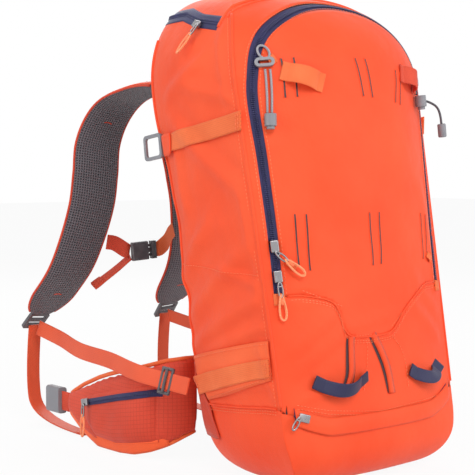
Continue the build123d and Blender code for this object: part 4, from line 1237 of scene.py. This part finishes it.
# %% Bands on the flanks
def flank_band(name, lower, upper, off, finish, body, side, thick=1.6, wave=0.0):
    """Rows between two y, z lines on a flank: a point is (1-w) * lower + w * upper."""
    a, b = (resample(smooth_path(line, 3), 3) for line in (lower, upper))
    n = max(len(a), len(b))
    k = np.linspace(0, 1, n)
    a, b = (np.stack([np.interp(k, np.linspace(0, 1, len(c)), c[:, i]) for i in (0, 1)], 1) for c in (a, b))
    w = np.linspace(0, 1, 9)[None, :, None]
    flat = a[:, None] * (1 - w) + b[:, None] * w
    p, normal = on_flank(flat[..., 0], flat[..., 1], off, side)
    p = p + normal * (0.85 * folds(p) + wave * np.sin(w[..., 0] * 7 + k[:, None] * 9))[..., None]
    obj = grid_piece(name, p, finish, body, centre=(0, 60, 250))
    return thicken(obj, thick, 1.0)


for side, hand in ((-1, "left"), (1, "right")):
    web = flank_band(f"compression_webbing_{hand}", [(108, 367), (70, 372), (20, 380), (-38, 390)],
                     [(108, 386), (70, 393), (20, 401), (-38, 411)],
                     1.6, webbing_cloth, "pack", side)
    if side < 0:
        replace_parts(web, "side_webbings")
    flank_band(f"webbing_cover_{hand}", [(92, 366), (108, 363), (116, 364)],
               [(92, 390), (108, 389), (116, 386)], 4.0,
                           shell_cloth, "pack", side, 1.2)
    low = flank_band(f"stabiliser_panel_{hand}", [(38, 87), (0, 98), (-50, 115), (-79, 125)],
                     [(75, 132), (20, 146), (-40, 160), (-75, 167)],
                     1.2, band_cloth if side < 0 else wing_cloth, "pack", side, 1.4, 0.3)
    if side < 0:
        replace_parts(low, "stabiliser_panels")
    flank_band(f"stabiliser_webbing_{hand}", [(58, 90), (10, 104), (-45, 120), (-79, 128)],
               [(66, 110), (20, 124), (-45, 141), (-77, 148)],
               3.2, webbing_cloth, "pack", side)
    gusset = flank_band(f"hip_gusset_{hand}", [(82, 42), (60, 42), (20, 45)],
                        [(82, 122), (72, 122), (36, 80)], 1.2, wing_cloth, "pack", side,
                        1.4, 0.5)
    if side < 0:
        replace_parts(gusset, "hip_gussets")
    rows = []
    for k, (points, off) in enumerate((([(-75, 164), (-40, 157), (20, 143), (72, 129)], 3.2),
                                       ([(-78, 128), (-50, 118), (0, 101), (36, 90)], 3.2),
                                       ([(-73, 144), (-76, 131)], 5.6), ([(60, 108), (54, 93)],
                                           5.6), ([(-35, 408), (-35, 392)], 3.9),
                                       ([(-31, 407), (-31, 391)], 3.9), ([(97, 239), (40, 238), (-10, 236),
                                                                          (-59, 235)], 0.6))):
        flat = resample(smooth_path(points, 2), 2)
        p, n = on_flank(flat[:, 0], flat[:, 1], off, side)
        p = p + n * ((1.0 if off < 1 else 0.85) * folds(p))[:, None]
        rows.append(stitches(f"flank_row_{hand}_{k}", p, n, orange_thread, "pack"))
    join_into(f"flank_stitches_{hand}", rows)
    z = np.linspace(96, 500, 140)
    half, seam, _, back = section(z)
    for k, (share, radius) in enumerate(((0.83, 1.9), (0.93, 1.5))):
        y = seam + (back - seam) * share
        p, n = on_flank(y, z, 0.6, side)
        piping(f"back_edge_piping_{hand}_{k}", p + n * folds(p)[:, None], radius, shell_cloth, "pack")

# %% [markdown]
# ## Shoulder straps
# A shoulder strap is a long pad of foam, cut to a curve and bound at its edges. The side that touches
# the wearer is open spacer mesh, the outside is shell cloth with a webbing ladder down its middle.
# The pad is a flattened oval carried along the strap's line, and its width shrinks to a round tip.

# %% Padded straps
HANDS = (("left", lambda p: np.asarray(p, float)), ("right", mirrored))
STRAP = [(-52, 202, 450), (-54, 230, 452), (-55, 265, 448), (-58, 307, 436), (-64, 333, 412),
         (-70, 346, 379), (-76, 343, 340),
         (-83, 342, 299), (-92, 352, 253), (-99, 371, 212), (-106, 404, 174), (-110, 428, 150)]
strap_line = resample(smooth_path(STRAP, 3), 3)
share = np.linspace(0, 1, len(strap_line))
strap_half = np.interp(share, [0, 0.1, 0.2, 1], [28, 31.5, 34.5,
    34.5]) * np.sqrt(np.clip(1 - (np.clip(share - 0.9, 0, 1) / 0.115) ** 2, 0.03, 1))
strap_thick = np.interp(share, [0, 0.05, 0.9, 1], [3.5, 5.2, 5.2, 3.2])


def strap_sheet(line, across, up, half, thick, low, high, side, n=33, lift=0.0):
    """Rows from edge to edge: at width share u they stand side * thick * (1 - |u|^3.2)^0.6 off the line."""
    u = np.linspace(low, high, n)
    rise = side * (thick[:, None] * (1 - np.abs(u) ** 3.2) ** 0.6 + lift)
    return line[:, None] + across[:, None] * (half[:, None] * u[None])[..., None] + up[:, None] * rise[...,
                                                                None]


for hand, turn in HANDS:
    along, across, up = frames(strap_line, (1, 0, 0))
    up = up * np.sign(up[20] @ (0, 0.2, 1))
    inner = strap_sheet(strap_line, across, up, strap_half, strap_thick, -1, 1, -1)
    cover = strap_sheet(strap_line, across, up, strap_half, strap_thick, -1, 1, 1)
    ring = np.concatenate([inner, cover[:, ::-1][:, 1:-1]], 1)
    middle = ring.mean(1, keepdims=True)
    ring = np.concatenate([middle[:1] + (ring[:1] - middle[:1]) * k for k in (0.0, 0.7)] + [ring]
                          + [middle[-1:] + (ring[-1:] - middle[-1:]) * k for k in (0.7, 0.0)])
    pad = closed_grid(f"strap_pad_{hand}", turn(ring), spacer_mesh, f"strap_{hand}")
    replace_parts(pad, f"shoulder_strap_{hand}")
    cloth_rows = strap_sheet(strap_line, across, up, strap_half, strap_thick, -0.97, 0.97, 1, lift=0.3)[3:-4]
    cover_piece = grid_piece(f"strap_cover_{hand}", turn(cloth_rows), shell_cloth, f"strap_{hand}",
                             centre=turn(np.array([(-60, 270, 300.0)]))[0])
    thicken(cover_piece, 0.5, 1.0)
    for k in (-1, 1):
        edge = (strap_line + across * (k * strap_half)[:, None])[4:-1]
        carried(f"strap_binding_{hand}_{k}", turn(edge), round_profile(1.5, 8), (0.1, 0.3, 1),
                deep_webbing, f"strap_{hand}")
    ladder = strap_line[14:int(len(strap_line) * 0.86)] + up[14:int(len(strap_line) * 0.86)] * 6.6
    carried(f"strap_ladder_webbing_{hand}", turn(ladder), flat_profile(20, 1.4), (1, 0, 0), deep_webbing,
            f"strap_{hand}")
    bars = []
    for k in range(18, int(len(strap_line) * 0.84), 13):
        b = strap_line[k] + up[k] * 7.6 + across[k] * np.linspace(-9, 9, 12)[:, None]
        bars.append(carried(f"strap_bar_{hand}_{k}", turn(b), round_profile(0.9, 6), along[k],
                            orange_thread, f"strap_{hand}"))
    join_into(f"strap_bars_{hand}", bars)
    tucks = []
    for at in (0.34, 0.9):
        k = int(at * len(strap_line))
        b = strap_line[k] - up[k] * (strap_thick[k] + 0.1) + across[k] * np.linspace(-6, 6, 20)[:,
            None] - along[k] * 3 * np.cos(np.linspace(-1, 1, 20))[:, None]
        tucks.append(carried(f"strap_tuck_{hand}_{k}", turn(b), round_profile(0.8, 6), along[k],
                             deep_webbing, f"strap_{hand}"))
    join_into(f"strap_tucks_{hand}", tucks)

# %% [markdown]
# ## Webbing between strap and hip
# From the buckle at the strap's tip a webbing runs down to the hip panel, and its tail hangs and lies
# on the floor. Both are flat bands carried along smooth lines.

# %% Lower webbings, tails and sternum strap
LOCK = np.array((-111.85, 439.09, 138.91))
RUN = [LOCK + (0, -7, -9.5), LOCK + (-4, -70, -18), (-130, 300, 114), (-143, 215, 113), (-151.5, 160, 109),
       (-151.2, 130, 106), (-140, 88, 101),
       (-135.6, 66, 99)]
TAIL = [(LOCK[0], LOCK[1] + 1.6, LOCK[2] - 6.6), (LOCK[0], LOCK[1] + 12, 66), (LOCK[0], LOCK[1] - 3, 1.2),
        (LOCK[0], LOCK[1] - 130, 1.2)]
for hand, turn in HANDS:
    run = turn(smooth_path(RUN, 3))
    k = np.linspace(0, 1, len(run))
    piece = carried(f"lower_webbing_{hand}", run, flat_profile(20, 1.8),
                    turn(np.array([(0.25, 0, 1.0)]))[0], strap_webbing, None)
    at = int(np.argmin(np.abs(run[:, 1] - 100)))
    flow = unit(run[at + 1] - run[at - 1])
    wide = unit(turn(np.array([(0.25, 0, 1.0)]))[0] - flow * (turn(np.array([(0.25, 0, 1.0)]))[0] @ flow))
    bars = []
    for k in (-7, 0, 7):
        bar = run[at] + flow * k + wide * np.linspace(-14, 14, 14)[:, None] + np.cross(flow,
            wide) * (0 if k else 2.4)
        bars.append(carried(f"slide_bar_{hand}_{k}", bar, round_profile(1.9, 10), flow, dark_plastic,
                            "pack"))
    for k in (-1, 1):
        bar = run[at] + wide * 14 * k + flow * np.linspace(-8, 8, 10)[:, None]
        bars.append(carried(f"slide_side_{hand}_{k}", bar, round_profile(2.0, 10), wide, dark_plastic,
                            "pack"))
    join_into(f"webbing_slide_{hand}", bars)
    tuple(turn(np.array([(-140.0, 120, 100)]))[0] * MM)
    tuple(turn(LOCK[None])[0] * MM)
    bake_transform(piece)
    if hand == "left":
        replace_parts(piece, "lower_webbings")
    dense = resample(spline_points(f"tail_{hand}", turn(TAIL)), 2.5)
    tail = carried(f"webbing_tail_band_{hand}", dense, flat_profile(20, 1.8), (1, 0, 0), strap_webbing,
                   f"strap_{hand}")
    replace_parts(tail, f"webbing_tail_{hand}")
    fold = carried(f"webbing_tail_end_{hand}", dense[-7:] + [0, 0, 1.7], flat_profile(20, 1.6), (1, 0, 0),
                   strap_webbing, f"strap_{hand}")

LEFT_BAND = [(-56, 347, 249), (-48, 339.5, 247), (-38.5, 327.5, 238), (-33.7, 325.9, 235.9)]
RIGHT_BAND = [(4.6, 318, 238.4), (9.5, 317, 239), (22, 319, 247), (38, 331, 257), (53.8, 344, 262)]
END_BAND = [(-29.5, 329.8, 228.8), (-42, 343, 213), (-56, 356, 198), (-68, 362, 188)]
band = carried("sternum_webbing_left", smooth_path(LEFT_BAND, 2), flat_profile(20, 1.8), (0, 0.2, 1),
               deep_webbing, "sternum")
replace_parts(band, "sternum_webbings")
carried("sternum_webbing_right", smooth_path(RIGHT_BAND, 2), flat_profile(20, 1.8), (0, 0.2, 1),
        webbing_cloth, "sternum")
carried("sternum_tail", smooth_path(END_BAND, 2), flat_profile(17, 1.8), (0.5, 0.5, 0.6), deep_webbing,
        "sternum")
carried("sternum_tail_fold", smooth_path(END_BAND, 2)[-8:] + [0.6, 1.0, 1.2], flat_profile(17.4, 2.2),
        (0.5, 0.5, 0.6), deep_webbing, "sternum")

# %% [markdown]
# ## Padding
# Foam pads swell a little between their edges. Each one starts as a closed shape in its place, is
# remeshed, and a short cloth simulation with pressure rounds it: every point may move only a few
# millimetres, so the pad stays in the space it belongs in. Its weave then follows its largest side.


# %% Swelling a pad
def points_of(mesh):
    p = np.zeros(len(mesh.vertices) * 3)
    mesh.vertices.foreach_get("co", p)
    return p.reshape(-1, 3)


def box_uvs(obj):
    """UVs in metres: each face takes the two axes that its normal points along least."""
    mesh = obj.data
    p = points_of(mesh)
    n, loops = np.zeros(len(mesh.polygons) * 3), np.zeros(len(mesh.loops), int)
    total = np.zeros(len(mesh.polygons), int)
    mesh.polygons.foreach_get("normal", n)
    mesh.polygons.foreach_get("loop_total", total)
    mesh.loops.foreach_get("vertex_index", loops)
    main = np.repeat(np.abs(n.reshape(-1, 3)).argmax(1), total)
    at = p[loops]
    uv = np.where((main == 0)[:, None], at[:, [1, 2]], np.where((main == 1)[:, None], at[:, [0, 2]],
                                                                at[:, [0, 1]]))
    layer = mesh.uv_layers.get("cloth") or mesh.uv_layers.new(name="cloth")
    layer.uv.foreach_set("vector", uv.ravel())


def swell(obj, voxel=0.005, pressure=4.0, cap=0.005, frames_run=16):
    """Remesh, inflate and cap: each point moves at most cap metres from where it started."""
    bpy.context.view_layer.objects.active = obj
    remesh = obj.modifiers.new("remesh", "REMESH")
    remesh.mode, remesh.voxel_size = "VOXEL", voxel
    view = bpy.context.evaluated_depsgraph_get()
    made = bpy.data.meshes.new_from_object(obj.evaluated_get(view))
    obj.modifiers.clear()
    obj.data = made
    start = points_of(obj.data)
    cloth_mod = obj.modifiers.new("swell", "CLOTH")
    s = cloth_mod.settings
    s.quality, s.mass = 6, 0.3
    s.tension_stiffness = s.compression_stiffness = 30
    s.bending_stiffness = 0.6
    s.use_pressure, s.uniform_pressure_force = True, pressure
    s.effector_weights.gravity = 0
    cloth_mod.point_cache.frame_start, cloth_mod.point_cache.frame_end = 1, frames_run
    for frame_number in range(1, frames_run + 1):
        scene.frame_set(frame_number)
    view = bpy.context.evaluated_depsgraph_get()
    moved = bpy.data.meshes.new_from_object(obj.evaluated_get(view))
    step = points_of(moved) - start
    far = np.linalg.norm(step, axis=1, keepdims=True)
    end = start + step * np.minimum(1, cap / np.maximum(far, 1e-9))
    obj.modifiers.clear()
    bpy.data.meshes.remove(moved)
    scene.frame_set(1)
    obj.data.vertices.foreach_set("co", end.ravel())
    obj.data.update()
    obj.data.polygons.foreach_set("use_smooth", np.ones(len(obj.data.polygons), bool))
    smooth = obj.modifiers.new("smooth", "SUBSURF")
    smooth.levels = smooth.render_levels = 1
    view = bpy.context.evaluated_depsgraph_get()
    made = bpy.data.meshes.new_from_object(obj.evaluated_get(view))
    obj.modifiers.clear()
    obj.data = made
    obj.data.polygons.foreach_set("use_smooth", np.ones(len(obj.data.polygons), bool))
    box_uvs(obj)
    obj.data.update()


def pad_from(names, label, finish, body, slot, shrink=0.0012, **settings):
    """A padded piece in the place of a CAD node."""
    source = NODES[names]
    mesh = source.data.copy()
    mesh.transform(source.matrix_world)
    shape = bmesh.new()
    shape.from_mesh(mesh)
    bmesh.ops.remove_doubles(shape, verts=shape.verts, dist=1e-6)
    shape.normal_update()
    for vert in shape.verts:
        vert.co -= vert.normal * shrink
    shape.to_mesh(mesh)
    shape.free()
    mesh.name = label
    mesh.materials.clear()
    mesh.materials.append(finish)
    obj = bpy.data.objects.new(label, mesh)
    scene.collection.objects.link(obj)
    swell(obj, **settings)
    obj.data.materials.clear()
    obj.data.materials.append(finish)
    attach(obj, body)
    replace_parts(obj, names)
    return obj


pad_from("back_pad", "back_padding", spacer_mesh, "pack", "mesh_foam", cap=0.004)
pad_from("lumbar_pad", "lumbar_padding", spacer_mesh, "pack", "mesh_foam", cap=0.004)

# %% [markdown]
# ## Hip wings
# A wing is a foam pad that starts behind the pack, turns forward round the hip and narrows to the
# buckle. Its section is a flattened oval between a lower and an upper edge. The outside carries a
# ripstop pocket with a zip and a plain band along the bottom; both edges are bound.

# %% Hip wings
STATIONS = np.array([(-84, 112, 34, 126), (-103, 114.5, 27, 126), (-122, 124, 17, 124),
                     (-135, 142, 9, 118), (-141, 166, 3, 111),
                     (-141, 196, 0.4, 104), (-141, 218, 0.4, 98), (-141, 240, 0.6, 91), (-141, 274, 14,
                         77), (-141, 306, 36, 60)], float)
run = distance_along(STATIONS[:, :2])
s_wing = np.linspace(0, run[-1], 90)
wing_xy = np.stack([np.interp(s_wing, run, STATIONS[:, k]) for k in (0, 1)], 1)
wide_xy = np.pad(wing_xy, ((4, 4), (0, 0)), mode="edge")
wing_xy = np.stack([np.convolve(wide_xy[:, k], np.ones(9) / 9, "valid") for k in (0, 1)], 1)
wing_low, wing_high = (np.interp(s_wing, run, STATIONS[:, k]) for k in (2, 3))
wing_out = unit(np.stack([-np.gradient(wing_xy[:, 1]), np.gradient(wing_xy[:, 0])], 1))


def on_wing(s, w, off):
    """Points at share w from the lower to the upper edge, off millimetres out from the pad's middle sheet."""
    s, w = np.broadcast_arrays(s, w)
    x, y = (np.interp(s, s_wing, wing_xy[:, k]) for k in (0, 1))
    nx, ny = (np.interp(s, s_wing, wing_out[:, k]) for k in (0, 1))
    low, high = np.interp(s, s_wing, wing_low), np.interp(s, s_wing, wing_high)
    return np.stack([x + nx * off, y + ny * off, low + (high - low) * w], -1)


def wing_face(w):
    """How far the wing's surface stands off its middle sheet at share w."""
    return 6.0 * np.clip(1 - np.abs(2 * w - 1) ** 3.5, 0, 1) ** 0.5


def at_y(y):
    return np.interp(y, wing_xy[:, 1], s_wing)


def low_high(s):
    return np.interp(s, s_wing, wing_low), np.interp(s, s_wing, wing_high)


def pocket_rise(u, w):
    """Height of the pocket over its edge: full in its middle and zero along its border."""
    return 7.4 * np.clip(1 - np.abs(2 * u - 1) ** 5, 0, 1) ** 0.8 * np.clip(1 - np.abs(2 * w - 1) ** 4, 0,
                                                                1) ** 0.8


for hand, turn in HANDS:
    body, hip = f"wing_{hand}", turn(np.array([(-100, 200, 50.0)]))[0]
    a = np.linspace(0, 2 * np.pi, 48, endpoint=False)
    w = 0.5 - 0.5 * np.cos(a)
    face = np.sign(np.sin(a)) * wing_face(w) * 0.93
    ring = on_wing(s_wing[:, None], 0.012 + 0.976 * w[None], face[None])
    ends = [(ring[:1].mean(1, keepdims=True), ring[:1]), (ring[-1:].mean(1, keepdims=True), ring[-1:])]
    ring = np.concatenate([ends[0][0] + (ends[0][1] - ends[0][0]) * k for k in (0.0, 0.6)] + [ring]
                          + [ends[1][0] + (ends[1][1] - ends[1][0]) * k for k in (0.6, 0.0)])
    wing = closed_grid(f"wing_pad_{hand}", turn(ring), wing_cloth, body)
    swell(wing, voxel=0.0045, cap=0.0035)
    wing.data.materials.clear()
    wing.data.materials.append(wing_cloth)
    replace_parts(wing, f"hip_wing_{hand}")

    y = np.linspace(132, 262, 60)
    top = np.interp(y, [132, 134, 180, 256, 262], [90, 94, 84, 66, 60])
    foot = np.interp(y, [132, 196, 236, 262], [24, 13, 15, 34])
    s = at_y(y)
    u, w = np.meshgrid(np.linspace(0, 1, 60), np.linspace(0, 1, 34), indexing="ij")
    z = foot[:, None] * (1 - w) + top[:, None] * w
    low, high = low_high(s)
    share = (z - low[:, None]) / (high - low)[:, None]
    wave = 0.5 * np.sin(u * 23 + 3 * w) * np.sin(w * 6 + u * 4) * pocket_rise(u, w) / 7.4
    p = on_wing(s[:, None], share, wing_face(share) + 0.6 + pocket_rise(u, w) + wave)
    pocket = grid_piece(f"wing_pocket_{hand}", turn(p), wing_cloth, body, centre=hip)
    thicken(pocket, 0.5, -1.0)
    for k, (line, radius, finish) in enumerate(((p[:, -1], 1.3, wing_cloth), (p[:, 0], 1.3, band_cloth),
                                                (p[0], 1.0, wing_cloth),
                                                (p[-1], 1.2, wing_cloth))):
        piping(f"pocket_piping_{hand}_{k}", turn(line), radius, finish, body)

    y = np.linspace(128, 259, 60)
    mid_z = np.interp(y, [136, 256], [84, 56.2]) - 1
    rows = []
    for drop in (-4.2, 0, 4.2):
        z = mid_z + drop
        top_z = np.interp(y, [132, 134, 180, 256, 262], [90, 94, 84, 66, 60])
        foot_z = np.interp(y, [132, 196, 236, 262], [24, 13, 15, 34])
        low, high = low_high(at_y(y))
        share = (z - low) / (high - low)
        rise = pocket_rise((y - 132) / 130, np.clip((z - foot_z) / (top_z - foot_z), 0, 1))
        rows.append(on_wing(at_y(y), share, wing_face(share) + 1.3 + np.maximum(rise, 0)))
    tape_rows = np.stack(rows, 1)
    tape = grid_piece(f"wing_zip_tape_{hand}", turn(tape_rows), navy_tape, body, centre=hip)
    thicken(tape, 0.5, 1.0)
    q = resample(turn(rows[1]), 2.1)
    along = unit(np.gradient(q, axis=0))
    up = np.cross(np.broadcast_to(turn(np.array([(-1.0, 0, 0)])), along.shape), along)
    beads(f"wing_zip_teeth_{hand}", q + turn(np.array([(-1.0, 0, 0)])) * 0.7, unit(up), along, 3.4, 0.8,
          navy_teeth, body)

    y = np.linspace(124, 298, 80)
    s = at_y(y)
    w = np.linspace(0, 1, 9)
    low, high = low_high(s)
    reach = np.interp(y, [124, 170, 200, 240, 270, 298], [13, 14, 15, 16, 15, 9])
    share = 0.02 + (reach / (high - low))[:, None] * w
    p = on_wing(s[:, None], share, wing_face(share) + 0.7)
    strip = grid_piece(f"wing_band_{hand}", turn(p), band_cloth, body, centre=hip)
    thicken(strip, 0.5, 1.0)
    for k, (share, off) in enumerate(((0.03, 0.3), (0.97, 0.3))):
        edge = on_wing(s_wing[2:-1], np.full(len(s_wing) - 3, share), off)
        edge[:, 2] = np.maximum(edge[:, 2], 2.4)
        piping(f"wing_binding_{hand}_{k}", turn(edge), 2.6, webbing_cloth, body)
    p = on_wing(s[:, None], np.linspace(0.08, 0.9, 20)[None],
                -wing_face(np.linspace(0.08, 0.9, 20))[None] - 0.5)
    lining = grid_piece(f"wing_inside_{hand}", turn(p), spacer_mesh, body,
                        centre=turn(np.array([(-200, 200, 50.0)]))[0])
    thicken(lining, 0.6, 1.0)

# %% [markdown]
# ## Belt ends and haul loop
# Short pieces of webbing: each belt end wraps the bar of its buckle half, and the haul loop is a
# narrow band that stands up behind the lid and swings on its lower seam.

# %% Belt ends and haul loop
for hand, turn in HANDS:
    path = np.array([(-141, y, 47.0) for y in np.linspace(308.5, 327.5, 12)])
    web = carried(f"belt_end_{hand}", turn(path), flat_profile(25, 1.9), (0, 0, 1), deep_webbing,
                  f"belt_{hand}")
    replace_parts(web, f"belt_webbing_{hand}")
    path = np.array([(-141, 309.35, z) for z in np.linspace(35, 59, 8)])
    carried(f"belt_fold_{hand}", turn(path), round_profile(2.9, 12), (1, 0, 0), deep_webbing,
            f"belt_{hand}")

y_loop, z_loop = 199.5, 484.0
a = np.linspace(0, np.pi, 40)
arc = np.stack([-33 * np.sign(np.cos(a)) * np.abs(np.cos(a)) ** 0.6, np.full(40, y_loop),
                z_loop + 4 + 37 * np.sin(a) ** 0.6], 1)
loop = carried("haul_loop_band", resample(smooth_path(arc, 3), 3), flat_profile(10, 2.2), (0, 0, 1),
               webbing_cloth, "haul")
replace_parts(loop, "haul_loop")
path = np.array([(x, y_loop, z_loop) for x in np.linspace(-37.5, 37.5, 30)])
carried("haul_loop_root", path, round_profile(2.9, 12), (0, 0, 1), webbing_cloth, "haul")

# %% [markdown]
# ## Floor
# A pale sheet under the pack catches its shadow.

# %% Floor
floor_mesh = bpy.data.meshes.new("floor")
floor_mesh.from_pydata([(-9, -9, -0.0005), (9, -9, -0.0005), (9, 9, -0.0005), (-9, 9, -0.0005)], [],
                       [(0, 1, 2, 3)])
floor = bpy.data.objects.new("floor", floor_mesh)
scene.collection.objects.link(floor)
pale, tree, skin = blank("pale floor")
lit = node(tree, "ShaderNodeLightPath")
white = node(tree, "ShaderNodeEmission", Color=(1, 1, 1, 1), Strength=1.0)
share = node(tree, "ShaderNodeMixShader", i1=skin.outputs[0], i2=white.outputs[0])
tree.links.new(maths(tree, "MULTIPLY", maths(tree, "MAXIMUM", lit.outputs["Is Camera Ray"],
                                             lit.outputs["Is Glossy Ray"]),
                     0.93), share.inputs[0])
tree.links.new(share.outputs[0], tree.nodes["Material Output"].inputs["Surface"])
skin.inputs["Base Color"].default_value = (0.86, 0.86, 0.86, 1)
skin.inputs["Roughness"].default_value = 0.9
floor_mesh.materials.append(pale)
